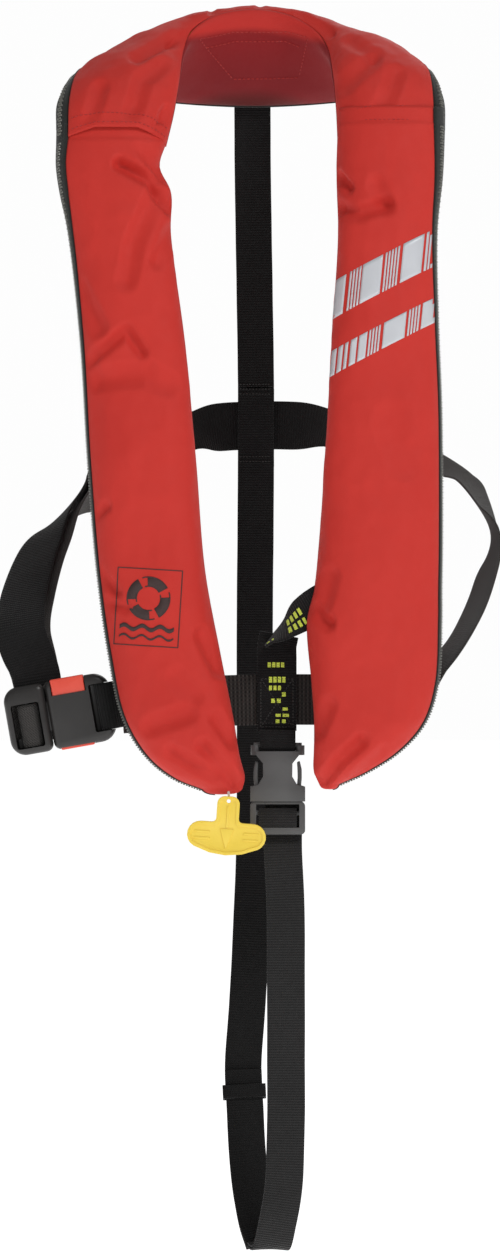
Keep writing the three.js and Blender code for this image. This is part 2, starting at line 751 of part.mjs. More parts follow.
const HANDLE_Y = -101;
const HANDLE_TOP = -591.2;
const handle = new THREE.Group();
handle.position.set(-17.7, HANDLE_Y, -611.5);
handle.rotation.y = rad(3.8);
jacket.add(handle);

// A T with round ends and a bowed foot, drawn smaller by the inset.
function handleOutline(inset) {
  const stem = 8.8 - inset;
  const end = 10.4 - inset;
  const crown = 6 - inset;
  const reach = 20.4;
  const turn = 1.35 * Math.PI;
  const shape = new THREE.Shape();
  shape.absarc(stem - crown, 14.3, crown, 0, Math.PI / 2);
  shape.absarc(crown - stem, 14.3, crown, Math.PI / 2, Math.PI);
  shape.lineTo(-stem, 3.5);
  shape.quadraticCurveTo(-stem, -inset, -stem - 3.5, -inset);
  shape.absarc(-reach, -10.4, end, Math.PI / 2, turn);
  const foot = v3(reach - end * Math.cos(turn), -10.4 + end * Math.sin(turn), 0);
  shape.quadraticCurveTo(0, -31.7 + inset, foot.x, foot.y);
  shape.absarc(reach, -10.4, end, Math.PI - turn, Math.PI / 2);
  shape.lineTo(stem + 3.5, -inset);
  shape.quadraticCurveTo(stem, -inset, stem, 3.5);
  return shape;
}

function pullHandle() {
  const body = slab(handleOutline(0), -2.5, 2.5);
  const face = slab(handleOutline(2.6), -4, -1.6);
  const eye = rod([0, -5, 16.6], [0, 5, 16.6], 1.6, 10);
  return body.subtract(face).subtract(eye);
}
piece("pull_handle", geometryOf(pullHandle()), "yellow_plastic", handle);

// ---------------------------------------------------------------- inflator

const HEAD_X = -66; // axis of the gas cylinder
const HEAD_Y = -100.5;
const HEAD_TOP = -492;
const HEAD_LOW = -528;
const PIVOT = [-57, -521];
const LEVER_REST = rad(20);
const leverEnd = [
  PIVOT[0] + LEVER_ARM * Math.cos(LEVER_REST),
  PIVOT[1] + LEVER_ARM * Math.sin(LEVER_REST),
];
const SPRING_SEAT = -504;
const headRod = (x, low, high, radius, sides = 16) =>
  rod([x, HEAD_Y, low], [x, HEAD_Y, high], radius, sides);

function inflatorBody() {
  let body = plate([HEAD_X - 15, HEAD_LOW], [HEAD_X + 15, HEAD_TOP], 4, HEAD_Y - 10.5, HEAD_Y + 10.5);
  body = body.subtract(headRod(HEAD_X, -503, HEAD_TOP + 1, 7));
  body = body.subtract(headRod(HEAD_X, -524, SPRING_SEAT, 3.4));
  body = body.subtract(headRod(HEAD_X, SPRING_SEAT - 1, -502, 1.7));
  body = body.subtract(block([-75, HEAD_Y - 2.6, HEAD_LOW - 1], [-40, HEAD_Y + 2.6, -509]));
  body = body.subtract(rod([PIVOT[0], HEAD_Y - 12, PIVOT[1]], [PIVOT[0], HEAD_Y + 12, PIVOT[1]], 2.4));
  body = body.subtract(rod([-82, HEAD_Y, -512], [-77, HEAD_Y, -512], 5.6));
  return body.subtract(rod([-55, HEAD_Y - 12, -500], [-55, HEAD_Y + 12, -500], 3.3));
}
piece("inflator_body", geometryOf(inflatorBody()), "dark_plastic");

function firingLever() {
  const hub = rod([0, -2, 0], [0, 2, 0], 5.6);
  const arm = plate([0, -3.4], [LEVER_ARM + 3.6, 3.4], 3.3, -2, 2);
  const nose = plate([-9.6, -2.4], [0, 2.4], 2.3, -2, 2);
  const pointing = (part, angle) => part.rotate([0, -THREE.MathUtils.radToDeg(angle), 0]);
  let lever = hub.add(pointing(arm, LEVER_REST)).add(pointing(nose, LEVER_REST - rad(5)));
  lever = lever.translate(PIVOT[0], HEAD_Y, PIVOT[1]);
  const bore = rod([PIVOT[0], HEAD_Y - 3, PIVOT[1]], [PIVOT[0], HEAD_Y + 3, PIVOT[1]], 2.4);
  const eye = rod([leverEnd[0], HEAD_Y - 3, leverEnd[1]], [leverEnd[0], HEAD_Y + 3, leverEnd[1]], 1.6, 10);
  return lever.subtract(bore).subtract(eye);
}
piece("firing_lever", geometryOf(firingLever()), "yellow_plastic");
piece(
  "lever_pin",
  geometryOf(rod([PIVOT[0], HEAD_Y - 10, PIVOT[1]], [PIVOT[0], HEAD_Y + 10, PIVOT[1]], 2)),
  "steel",
);

// The pin points up at the cylinder's seal; the spring round it holds it off.
const PIN_LOW = -517;
function piercingPin() {
  const shank = headRod(HEAD_X, PIN_LOW, -509.4, 3, 12);
  const stem = headRod(HEAD_X, -510, -503.5, 1.2, 8);
  const tip = rod([HEAD_X, HEAD_Y, -504], [HEAD_X, HEAD_Y, -501], 1.2, 8, 0.2);
  return shank.add(stem).add(tip);
}
piece("piercing_pin", geometryOf(piercingPin()), "steel");
const returnSpring = piece("pin_spring", coil(2.2, 0.7, 3, 4.6), "steel");
returnSpring.position.set(HEAD_X, HEAD_Y, -509);

function gasCylinder() {
  const neck = 5.5;
  const shoulder = HEAD_TOP + 1;
  const top = shoulder + CYLINDER_LENGTH;
  const profile = [
    [0, -497.2],
    [1.8, -497.2],
    [1.8, -499.2],
    [neck, -499.2],
    [neck, shoulder],
    [CYLINDER_R * 0.75, shoulder + 4],
    [CYLINDER_R, shoulder + 12],
    [CYLINDER_R, top - 11],
    [CYLINDER_R * 0.75, top - 3],
    [0, top],
  ];
  const made = new THREE.LatheGeometry(profile.map(([r, z]) => new THREE.Vector2(r, z)), 20);
  return made.rotateX(Math.PI / 2).translate(HEAD_X, HEAD_Y, 0);
}
piece("gas_cylinder", gasCylinder(), "green_steel");
const gasket = headRod(HEAD_X, -502.6, -499.8, 6.2).subtract(headRod(HEAD_X, -503, -499, 3.2));
piece("cylinder_gasket", geometryOf(gasket), "rubber");

const cartridge = rod([-93, HEAD_Y, -512], [-81.6, HEAD_Y, -512], 9.6, 18)
  .add(rod([-82, HEAD_Y, -512], [-77.6, HEAD_Y, -512], 5));
piece("dissolving_cartridge", geometryOf(cartridge), "yellow_plastic");

// The chamber's manifold: a flange on the chamber, a stem through the head and a nut in front.
const MANIFOLD_X = -55;
const MANIFOLD_Z = -500;
const FLANGE_Y = HEAD_Y + 11;
const stem = rod([MANIFOLD_X, FLANGE_Y + 0.8, MANIFOLD_Z], [MANIFOLD_X, HEAD_Y - 15, MANIFOLD_Z], 2.8)
  .add(rod([MANIFOLD_X, FLANGE_Y + 1.6, MANIFOLD_Z], [MANIFOLD_X, FLANGE_Y, MANIFOLD_Z], 12, 20));
piece("manifold_stem", geometryOf(stem), "rubber");
const nut = rod([MANIFOLD_X, HEAD_Y - 11, MANIFOLD_Z], [MANIFOLD_X, HEAD_Y - 14.6, MANIFOLD_Z], 6, 6)
  .subtract(rod([MANIFOLD_X, HEAD_Y, MANIFOLD_Z], [MANIFOLD_X, HEAD_Y - 20, MANIFOLD_Z], 3.3));
piece("manifold_nut", geometryOf(nut), "steel");

// The lanyard hangs from the lever's eye, through the open end of the lobe, to the handle.
const LANYARD = [
  [leverEnd[0], HEAD_Y, leverEnd[1] - 4.2],
  [leverEnd[0] + 1, HEAD_Y, leverEnd[1] - 20],
  [-20, -96, -552],
  [-18.2, -94, -576],
  [-17.4, -94, -585],
  [-16.4, HANDLE_Y, HANDLE_TOP + 0.8],
];
piece("pull_lanyard", cord(LANYARD, 1, 20), "white_cord");

// ---------------------------------------------------------------- mouth tube and whistle

const ORAL_X = 100;
const ORAL_Y = -100.5;
const oralRod = (low, high, radius, sides = 16) =>
  rod([ORAL_X, ORAL_Y, low], [ORAL_X, ORAL_Y, high], radius, sides);
const oralTube = oralRod(-330, -232, 5.5).add(oralRod(-234, -214, 8)).add(oralRod(-333, -329, 12, 20));
const oralBore = oralRod(-340, -230, 3.8).add(oralRod(-232, -213, 5.4));
piece("oral_tube", geometryOf(oralTube.subtract(oralBore)), "rubber");
const poppet = oralRod(-224, -215, 4.6, 14).add(oralRod(-230.6, -223, 2.2, 10));
piece("oral_valve", geometryOf(poppet), "red_plastic");
const valveSpring = piece("valve_spring", coil(4.5, 0.7, 3, 7.2), "steel");
valveSpring.position.set(ORAL_X, ORAL_Y, -231.6);
const oralCap = oralRod(-226, -208, 10.4, 20).subtract(oralRod(-227, -211, 8.5));
piece("oral_cap", geometryOf(oralCap), "rubber");

function whistleBody() {
  const low = [74, -114, -404];
  const high = [94, -104, -360];
  const body = block(low, high);
  const mouth = block([77, -112, -372], [91, -106, -355]);
  const vent = block([77, -116, -382], [91, -109, -376]);
  const eye = rod([84, -120, -400], [84, -100, -400], 2, 10);
  return body.subtract(mouth).subtract(vent).subtract(eye);
}
piece("whistle", geometryOf(whistleBody()), "yellow_plastic");

export default jacket;
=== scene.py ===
import math

import bmesh
import bpy
import numpy as np
from mathutils import Matrix, Vector, noise
from mathutils.bvhtree import BVHTree


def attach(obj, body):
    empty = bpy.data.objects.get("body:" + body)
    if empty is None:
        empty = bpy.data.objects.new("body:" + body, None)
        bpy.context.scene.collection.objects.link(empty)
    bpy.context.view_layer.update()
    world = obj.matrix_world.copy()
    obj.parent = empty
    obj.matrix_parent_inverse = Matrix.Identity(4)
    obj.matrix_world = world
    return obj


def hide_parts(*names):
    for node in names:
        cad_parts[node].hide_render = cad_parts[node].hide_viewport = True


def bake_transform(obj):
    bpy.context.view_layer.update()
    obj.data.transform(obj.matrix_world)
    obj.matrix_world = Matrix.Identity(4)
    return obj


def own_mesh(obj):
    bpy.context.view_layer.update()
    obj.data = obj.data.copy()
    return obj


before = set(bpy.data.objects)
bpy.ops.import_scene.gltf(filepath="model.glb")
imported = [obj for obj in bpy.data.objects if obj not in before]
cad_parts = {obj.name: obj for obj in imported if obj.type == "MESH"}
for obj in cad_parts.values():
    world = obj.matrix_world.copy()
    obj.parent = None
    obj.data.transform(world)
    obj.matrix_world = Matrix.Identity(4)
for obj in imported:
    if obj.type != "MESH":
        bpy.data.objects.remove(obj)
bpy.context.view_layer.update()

scene = bpy.context.scene
MM = 0.001

# ---------------------------------------------------------------- studio
# The jacket hangs closed, as if worn, and is looked at level from 3 m in front of it.
# A pale floor, a large soft light from the upper right, and a weaker one from the left.
camera_data = bpy.data.cameras.new("camera")
camera_data.lens = 110.7
camera_data.sensor_width = 36
camera = bpy.data.objects.new("camera", camera_data)
camera.location = (0, -3.1, -0.458)
camera.rotation_euler = (math.pi / 2, 0, 0)
scene.collection.objects.link(camera)
scene.camera = camera
scene.view_settings.view_transform = "Standard"


def paint(red, green, blue):
    """A colour given as 0 to 255 a channel, as the shaders take it."""
    channels = [c / 255 for c in (red, green, blue)]
    return [c / 12.92 if c < 0.04 else ((c + 0.055) / 1.055) ** 2.4 for c in channels] + [1]


def soft_light(name, place, target, size, power):
    data = bpy.data.lights.new(name, "AREA")
    data.shape = "DISK"
    data.size = size
    data.energy = power
    lamp = bpy.data.objects.new(name, data)
    lamp.location = place
    aim = Vector(target) - Vector(place)
    lamp.rotation_euler = aim.to_track_quat("-Z", "Y").to_euler()
    scene.collection.objects.link(lamp)


soft_light("key_light", (1.5, -2.1, 1.9), (0, 0, -0.35), 0.9, 42)
soft_light("fill_light", (-2.0, -2.2, 0.2), (0, 0, -0.45), 1.6, 3)
soft_light("back_light", (0.4, 2.4, 1.6), (0, 0, -0.4), 1.6, 13)

world = bpy.data.worlds.new("studio")
world.use_nodes = True
sky = world.node_tree.nodes["Background"]
sky.inputs["Color"].default_value = (1, 1, 1, 1)
seen = world.node_tree.nodes.new("ShaderNodeLightPath")
brightness = world.node_tree.nodes.new("ShaderNodeMapRange")
brightness.inputs["To Min"].default_value = 0.27  # as light on the jacket
brightness.inputs["To Max"].default_value = 0.985  # as the background
world.node_tree.links.new(seen.outputs["Is Camera Ray"], brightness.inputs["Value"])
world.node_tree.links.new(brightness.outputs["Result"], sky.inputs["Strength"])
scene.world = world

bpy.ops.object.select_all(action="DESELECT")
bpy.ops.mesh.primitive_plane_add(size=30, location=(0, 0, -1.0))
floor = bpy.context.object
floor.name = "floor"
floor_paint = bpy.data.materials.new("floor_paint")
floor_paint.use_nodes = True
floor_look = floor_paint.node_tree.nodes["Principled BSDF"].inputs
floor_look["Base Color"].default_value = paint(246, 246, 246)
floor_look["Roughness"].default_value = 0.9
floor_look["Emission Color"].default_value = (1, 1, 1, 1)
floor_look["Emission Strength"].default_value = 0.78
floor.data.materials.append(floor_paint)


# ---------------------------------------------------------------- lanyard
# A 2 mm white braided cord runs from the firing lever inside the left lobe, out through
# the lobe's open end, to the yellow handle. It is held at both ends.
def smooth_curve(points):
    """A smooth line through points, for t from 0 at the first to 1 at the last."""
    p = [np.array(q, float) for q in points]
    p = [2 * p[0] - p[1]] + p + [2 * p[-1] - p[-2]]

    def at(t):
        s = min(max(t, 0), 1) * (len(p) - 3)
        i = min(int(s), len(p) - 4)
        w = s - i
        a, b, c, d = p[i : i + 4]
        ab, bc, cd = (max(np.dot(q - r, q - r) ** 0.25, 1e-4) for q, r in ((a, b), (b, c), (c, d)))
        leave = ((b - a) / ab - (c - a) / (ab + bc) + (c - b) / bc) * bc
        reach = ((c - b) / bc - (d - b) / (bc + cd) + (d - c) / cd) * bc
        bend = 3 * (c - b) - 2 * leave - reach
        return b + leave * w + bend * w**2 + (2 * (b - c) + leave + reach) * w**3

    return at


LANYARD = [
    (-26.93, -100.5, -514.3),
    (-25.93, -100.5, -530.1),
    (-20, -96, -552),
    (-18.2, -94, -576),
    (-17.4, -94, -585),
    (-16.4, -101, -590.4),
]
lanyard_line = smooth_curve(LANYARD)
CORD_PARTS = 24
lanyard_points = [lanyard_line(i / CORD_PARTS) * MM for i in range(CORD_PARTS + 1)]
lanyard_data = bpy.data.curves.new("pull_lanyard_cord", "CURVE")
lanyard_data.dimensions = "3D"
lanyard_data.bevel_depth = 0.001
lanyard_data.bevel_resolution = 4
lanyard_data.use_fill_caps = True
spline = lanyard_data.splines.new("POLY")
spline.points.add(CORD_PARTS)
for point, place in zip(spline.points, lanyard_points):
    point.co = (*place, 1)
lanyard = bpy.data.objects.new("pull_lanyard_cord", lanyard_data)
scene.collection.objects.link(lanyard)


def new_shader(name, color, roughness):
    """A material, and the shader in it."""
    material = bpy.data.materials.new(name)
    material.use_nodes = True
    surface = material.node_tree.nodes["Principled BSDF"]
    surface.inputs["Base Color"].default_value = color
    surface.inputs["Roughness"].default_value = roughness
    return material, surface


def new_group(name, inputs, outputs):
    """An effect that several materials share, with its named inputs and outputs."""
    group = bpy.data.node_groups.new(name, "ShaderNodeTree")
    for label, kind, value in inputs:
        socket = group.interface.new_socket(label, in_out="INPUT", socket_type=kind)
        if value is not None:
            socket.default_value = value
    for label, kind in outputs:
        group.interface.new_socket(label, in_out="OUTPUT", socket_type=kind)
    start = group.nodes.new("NodeGroupInput")
    end = group.nodes.new("NodeGroupOutput")
    return group, start, end


def sums(group, kind, first, second, third=None):
    """One arithmetic node in a node tree, fed by sockets or plain numbers."""
    node = group.nodes.new("ShaderNodeMath")
    node.operation = kind
    for socket, value in zip(node.inputs, (first, second, third)):
        if value is None:
            continue
        if isinstance(value, (int, float)):
            socket.default_value = value
        else:
            group.links.new(value, socket)
    return node.outputs[0]


def wave_of(tree, place, spacing):
    """A sine over a place, with one wave to each spacing."""
    turns = sums(tree, "MULTIPLY", sums(tree, "DIVIDE", place, spacing), math.tau)
    return sums(tree, "SINE", turns, 0)


# Cloth and cord weave: ribs, and finer threads across them, on the piece's own UV map.
# Slant leans the ribs over, as in twill.
VALUE = "NodeSocketFloat"
weave, weave_in, weave_out = new_group(
    "crossed_threads",
    [("Vector", "NodeSocketVector", None), ("Pitch", VALUE, 0.001), ("Thread", VALUE, 0.001),
     ("Slant", VALUE, 0.0)],
    [("Height", VALUE)],
)
split = weave.nodes.new("ShaderNodeSeparateXYZ")
weave.links.new(weave_in.outputs["Vector"], split.inputs[0])
leaning = sums(weave, "MULTIPLY_ADD", split.outputs[0], weave_in.outputs["Slant"], split.outputs[1])
ribs = wave_of(weave, leaning, weave_in.outputs["Pitch"])
rows_across = wave_of(weave, split.outputs[0], weave_in.outputs["Thread"])
crossings = sums(weave, "MULTIPLY", sums(weave, "MULTIPLY", ribs, rows_across), 0.35)
height = sums(weave, "MULTIPLY_ADD", ribs, 0.5, crossings)
weave.links.new(sums(weave, "ADD", height, 0.5), weave_out.inputs["Height"])

# Cloudy, uneven colour and sheen, as dust and handling leave: two sizes of soft noise.
clouds, clouds_in, clouds_out = new_group(
    "cloudy_tone",
    [("Vector", "NodeSocketVector", None), ("Scale", VALUE, 20.0)],
    [("Tone", VALUE), ("Fine", VALUE)],
)
for label, factor, detail in (("Tone", 1, 3), ("Fine", 14, 2)):
    mist = clouds.nodes.new("ShaderNodeTexNoise")
    mist.inputs["Detail"].default_value = detail
    clouds.links.new(clouds_in.outputs["Vector"], mist.inputs["Vector"])
    clouds.links.new(sums(clouds, "MULTIPLY", clouds_in.outputs["Scale"], factor), mist.inputs["Scale"])
    clouds.links.new(mist.outputs["Fac"], clouds_out.inputs[label])


def place_group(material, group):
    node = material.node_tree.nodes.new("ShaderNodeGroup")
    node.node_tree = group
    return node


def clouded(material, scale):
    """Cloudy tone over a material: its node, and the node that gives places on the piece."""
    places = material.node_tree.nodes.new("ShaderNodeTexCoord")
    tone = place_group(material, clouds)
    material.node_tree.links.new(places.outputs["Object"], tone.inputs["Vector"])
    tone.inputs["Scale"].default_value = scale
    return tone, places


def tinted(material, dark, light, share):
    """Colours a material from dark to light, by a share from 0 to 1."""
    nodes, links = material.node_tree.nodes, material.node_tree.links
    mix = nodes.new("ShaderNodeMix")
    mix.data_type = "RGBA"
    mix.inputs["A"].default_value = dark
    mix.inputs["B"].default_value = light
    links.new(share, mix.inputs["Factor"])
    links.new(mix.outputs["Result"], nodes["Principled BSDF"].inputs["Base Color"])


def embossed(material, height, strength, distance):
    """Fine relief over a material, from a height."""
    nodes, links = material.node_tree.nodes, material.node_tree.links
    bump = nodes.new("ShaderNodeBump")
    bump.inputs["Strength"].default_value = strength
    bump.inputs["Distance"].default_value = distance
    links.new(height, bump.inputs["Height"])
    links.new(bump.outputs["Normal"], nodes["Principled BSDF"].inputs["Normal"])


def woven(name, dark, light, pitch, thread, slant=0.0, roughness=0.8, depth=0.4, sheen=0.2, cloud=25):
    """Woven cloth: threads on the UV map, cloudy tone on the object's own place."""
    material, surface = new_shader(name, dark, roughness)
    tree = material.node_tree
    tone, places = clouded(material, cloud)
    threads = place_group(material, weave)
    tree.links.new(places.outputs["UV"], threads.inputs["Vector"])
    for label, value in (("Pitch", pitch), ("Thread", thread), ("Slant", slant)):
        threads.inputs[label].default_value = value
    height, fine = threads.outputs["Height"], tone.outputs["Fine"]
    patchy = sums(tree, "MULTIPLY", tone.outputs["Tone"], 0.5)
    tinted(material, dark, light, sums(tree, "MULTIPLY_ADD", height, 0.55, patchy))
    tree.links.new(sums(tree, "MULTIPLY_ADD", fine, 0.25, roughness - 0.12), surface.inputs["Roughness"])
    embossed(material, sums(tree, "MULTIPLY_ADD", fine, 0.5, height), depth, 0.0006)
    surface.inputs["Sheen Weight"].default_value = sheen
    surface.inputs["Sheen Roughness"].default_value = 0.5
    surface.inputs["Specular IOR Level"].default_value = 0.24
    return material


cord_braid = woven("lanyard_braid", paint(214, 212, 204), paint(246, 245, 240), 0.0016, 0.0011, 0.6)
lanyard_data.materials.append(cord_braid)
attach(lanyard, "handle")
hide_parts("pull_lanyard")

# ---------------------------------------------------------------- cover
# The cover is a folded tube of coated cloth over the chamber: an outer panel for each lobe
# and a yoke over the shoulders, sewn to lining panels on the wearer's side along the neck.
FULLNESS = 2.4  # 2 would be an oval section, more is squarer
CLOTH = 1.2  # thickness (mm)

# Height, inner edge, outer edge, depth of the middle, fullness in front and behind, zip angle.
LEFT_LOBE = [
    (-586, -6, -38, -90, 10, 9, 20), (-577, -4, -60, -91, 17, 15, 20),
    (-560, -8, -81, -93, 23, 20, 20), (-530, -13, -99, -94, 27, 24, 20),
    (-480, -23, -110, -94, 27, 24, 20), (-415, -35, -119, -94, 27, 24, 20),
    (-330, -42, -126, -93, 27, 24, 20), (-235, -51, -132, -90, 27, 24, 22),
    (-150, -62, -142, -84, 26, 22, 28), (-118, -62, -149, -79, 26, 22, 36),
    (-97, -71, -152, -75, 26, 21, 40), (-78, -66, -152, -70, 25, 20, 42),
]
RIGHT_LOBE = [
    (-582, 54, 70, -90, 10, 9, 20), (-572, 50, 92, -91, 18, 16, 20),
    (-555, 50, 118, -93, 23, 20, 20), (-533, 50, 137, -94, 26, 23, 20),
    (-503, 48, 146.5, -94, 27, 24, 20), (-455, 44.5, 149, -94, 27, 24, 20),
    (-430, 50, 149, -94, 27, 24, 20), (-391, 54, 149.5, -94, 27, 24, 20),
    (-292, 61, 149, -92, 27, 24, 20), (-219, 65, 146.5, -89, 27, 24, 22),
    (-150, 69, 146, -84, 26, 22, 28), (-105, 68, 151, -77, 26, 22, 36),
    (-65, 69, 153, -70, 25, 20, 42),
]
# The yoke turns over the shoulders: inner edge, outer edge, outside direction, then as above.
YOKE = [
    ((-66, -70, -77), (-152, -70, -73), (0, -1, 0.08), (25, 20, 42)),
    ((-60, -61, -52), (-152, -60, -50), (-0.05, -0.92, 0.35), (25, 18, 42)),
    ((-56, -42, -24), (-145, -38, -36), (-0.15, -0.6, 0.78), (25, 16, 40)),
    ((-53, -12, 4), (-128, 5, -24), (-0.25, -0.1, 1), (25, 14, 34)),
    ((-46, 10, 24), (-98, 46, -24), (-0.3, 0.3, 0.9), (25, 13, 26)),
    ((-27, 22, 38), (-56, 68, -27), (-0.15, 0.6, 0.8), (26, 12, 20)),
    ((2, 25, 43), (2, 75, -29), (0, 0.68, 0.74), (27, 12, 20)),
    ((31, 22, 38), (60, 68, -27), (0.15, 0.6, 0.8), (26, 12, 20)),
    ((52, 10, 24), (102, 46, -24), (0.3, 0.3, 0.9), (25, 13, 26)),
    ((62, -12, 6), (131, 5, -21), (0.25, -0.1, 1), (25, 14, 34)),
    ((66, -42, -20), (147, -38, -31), (0.15, -0.6, 0.78), (25, 16, 40)),
    ((68, -61, -44), (153, -60, -43), (0.05, -0.92, 0.35), (25, 18, 42)),
    ((69, -70, -64.5), (153, -70, -61), (0, -1, 0.08), (25, 20, 42)),
]


def unit(v):
    return v / np.linalg.norm(v)


def run_of(points):
    """How far along a line each of its points lies."""
    return np.concatenate([[0], np.cumsum(np.linalg.norm(np.diff(points, axis=0), axis=1))])


def lobe(rows):
    """A lobe's rows as the tube takes them: its outer face looks straight forwards."""
    return [((a, y, z), (b, y, z), (0, -1, 0), (front, back, turn)) for z, a, b, y, front, back, turn in rows]


FINE_STEPS = 400


def tube(rows):
    """Sections of the tube for t from 0 to 1, evenly spaced along its middle."""
    inner, outer, outside, shape = (smooth_curve([row[i] for row in rows]) for i in range(4))
    shares = np.linspace(0, 1, FINE_STEPS)
    run = run_of(np.array([(inner(t) + outer(t)) / 2 for t in shares]))

    def section(share):
        t = float(np.interp(share * run[-1], run, shares))
        a, b = inner(t), outer(t)
        across = unit(b - a)
        out = outside(t)
        out = unit(out - across * np.dot(out, across))
        front, back, zip_angle = shape(t)
        return (a + b) / 2, across, out, np.linalg.norm(b - a) / 2, front, back, math.radians(zip_angle)

    return section


def rim(section, angles):
    """Points of a section's outline, and the outward directions there."""
    middle, across, out, half, front, back, _ = section
    c, s = np.cos(angles), np.sin(angles)
    depth = np.where(s > 0, front, back)
    x = np.sign(c) * np.abs(c) ** (2 / FULLNESS) * half
    y = np.sign(s) * np.abs(s) ** (2 / FULLNESS) * depth
    nx = np.sign(x) * np.abs(x / half) ** (FULLNESS - 1) / half
    ny = np.sign(y) * np.abs(y / depth) ** (FULLNESS - 1) / depth
    size = np.maximum(np.hypot(nx, ny), 1e-9)
    points = middle + x[:, None] * across + y[:, None] * out
    normals = (nx / size)[:, None] * across + (ny / size)[:, None] * out
    return points, normals


def even_angles(section, first, last, count):
    """Angles between two, chosen so that the outline's points are evenly spaced."""
    fine = np.linspace(first, last, FINE_STEPS)
    points, _ = rim(section, fine)
    run = run_of(points)
    return np.interp(np.linspace(0, run[-1], count + 1), run, fine)


def cloudy(points, size, seed):
    """Soft noise, -1 to 1, at points in mm."""
    return np.array([noise.noise(Vector(p) / size + Vector((seed, 0, 0))) for p in points])


def crease(points, line, width, depth):
    """How far a fold along a bent line pushes points in (mm): a valley with raised sides."""
    push = np.zeros(len(points))
    for start, end in zip(line, line[1:]):
        a, b = np.array(start, float), np.array(end, float)
        flat = points[:, [0, 2]]
        along = b - a
        share = np.clip(((flat - a) @ along) / (along @ along), 0, 1)
        away = np.linalg.norm(flat - a - share[:, None] * along, axis=1) / width
        push = np.maximum(push, np.exp(-(away**2)) - 0.45 * np.exp(-((away - 1.7) ** 2)))
    return -depth * push


def choose(piece):
    bpy.ops.object.select_all(action="DESELECT")
    piece.select_set(True)
    bpy.context.view_layer.objects.active = piece


def link_mesh(name, mesh):
    piece = bpy.data.objects.new(name, mesh)
    scene.collection.objects.link(piece)
    choose(piece)
    return piece


def smoothed(mesh):
    mesh.polygons.foreach_set("use_smooth", [True] * len(mesh.polygons))


def grid_piece(name, points, flat, closed=False):
    """A cloth of rows and columns of points (mm), with its flat pattern (mm) as its UV map."""
    rows, cols = points.shape[:2]
    mesh = bpy.data.meshes.new(name)
    faces = []
    for low in range(0, (rows - 1) * cols, cols):
        high = low + cols
        for c in range(cols if closed else cols - 1):
            after = (c + 1) % cols
            faces.append((low + c, low + after, high + after, high + c))
    mesh.from_pydata([tuple(p * MM) for p in points.reshape(-1, 3)], [], faces)
    uv = mesh.uv_layers.new(name="flat_pattern")
    spots = flat.reshape(-1, 2) * MM
    for loop in mesh.loops:
        uv.data[loop.index].uv = spots[loop.vertex_index]
    smoothed(mesh)
    return link_mesh(name, mesh)


def apply(piece, kind, **settings):
    choose(piece)
    modifier = piece.modifiers.new(kind.lower(), kind)
    for key, value in settings.items():
        setattr(modifier, key, value)
    bpy.ops.object.modifier_apply(modifier=modifier.name)


def fitted(piece, material, body, slot, *nodes):
    """Finishes a piece: its material, the body that it rides, and what it replaces. Its slot is not used."""
    piece.data.materials.append(material)
    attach(piece, body)
    if nodes:
        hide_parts(*nodes)


UNDERLAP = 14  # how far a lobe's panels run up under the yoke
CURL = ((0.93, 1.2), (0.8, 2.6), (0.6, 3.6), (0.35, 4.1))  # how a tip draws in: size and how far out
# Dents die out towards the seams, which hold both panels together, and towards the hems.
SEAM_COLUMNS = 7
HEM_ROWS = 9
# The yoke's hems on the chest dip at the neck edge and at the zip edge, from 0 to 1 across.
HEM_ACROSS = (0, 0.25, 0.62, 1)
HEM_HEIGHTS = (-75, -68, -68, -81)
DIPPED_ROWS = 26


def cloth_panel(name, section, angles, rows, cols, dents, lobe_end=True, draw_in=(0.992, 0.972)):
    """A panel of the cover: rows of sections, dented and puckered. A lobe's tip is drawn shut."""
    lines, ways = [], []
    for share in np.linspace(0, 1, rows):
        cut = section(share)
        line, way = rim(cut, even_angles(cut, *angles(cut), cols))
        lines.append(line)
        ways.append(way)
    points, normals = np.array(lines), np.array(ways)
    if dents:
        push = dents(points.reshape(-1, 3)).reshape(points.shape[:2])
        column = np.arange(points.shape[1])
        from_seam = np.minimum(column, points.shape[1] - 1 - column)
        push *= np.clip(from_seam / SEAM_COLUMNS, 0, 1) ** 0.7
        row = np.arange(rows)
        from_hem = rows - 1 - row if lobe_end else np.minimum(row, rows - 1 - row)
        push *= np.clip(from_hem / HEM_ROWS, 0, 1)[:, None]
        points = points + push[:, :, None] * normals
    if lobe_end:
        middle = section(0)[0]
        down = np.array((0, 0, -1.0))
        tip = [middle + (points[0] - middle) * size + down * shift for size, shift in CURL]
        top, side, face = section(1)[:3]
        away = points[-1] - top
        wide = (away @ side)[:, None] * side * draw_in[0]
        deep = (away @ face)[:, None] * face * draw_in[1]
        inner = top + wide + deep
        under = [inner + np.array((0, 0.3, 1.0)) * k for k in np.linspace(1, UNDERLAP, 6)]
        points = np.concatenate([np.array(tip[::-1]), points, np.array(under)])
    else:
        hem = np.interp(np.linspace(0, 1, points.shape[1]), HEM_ACROSS, HEM_HEIGHTS)
        for end, step in ((0, 1), (-1, -1)):
            lift = hem - points[end][:, 2]
            for k in range(DIPPED_ROWS):
                points[end + k * step, :, 2] += lift * (1 - k / DIPPED_ROWS) ** 2
    along = np.zeros(points.shape[:2])
    along[1:] = np.cumsum(np.linalg.norm(np.diff(points, axis=0), axis=2), axis=0)
    side = np.zeros(points.shape[:2])
    side[:, 1:] = np.cumsum(np.linalg.norm(np.diff(points, axis=1), axis=2), axis=1)
    return grid_piece(name, points, np.stack([side, along], axis=2)), points


SEAM = math.radians(0.5)
ZIP_GAP = math.radians(1.2)
left_section = tube(lobe(LEFT_LOBE))
right_section = tube(lobe(RIGHT_LOBE))
yoke_section = tube(YOKE)


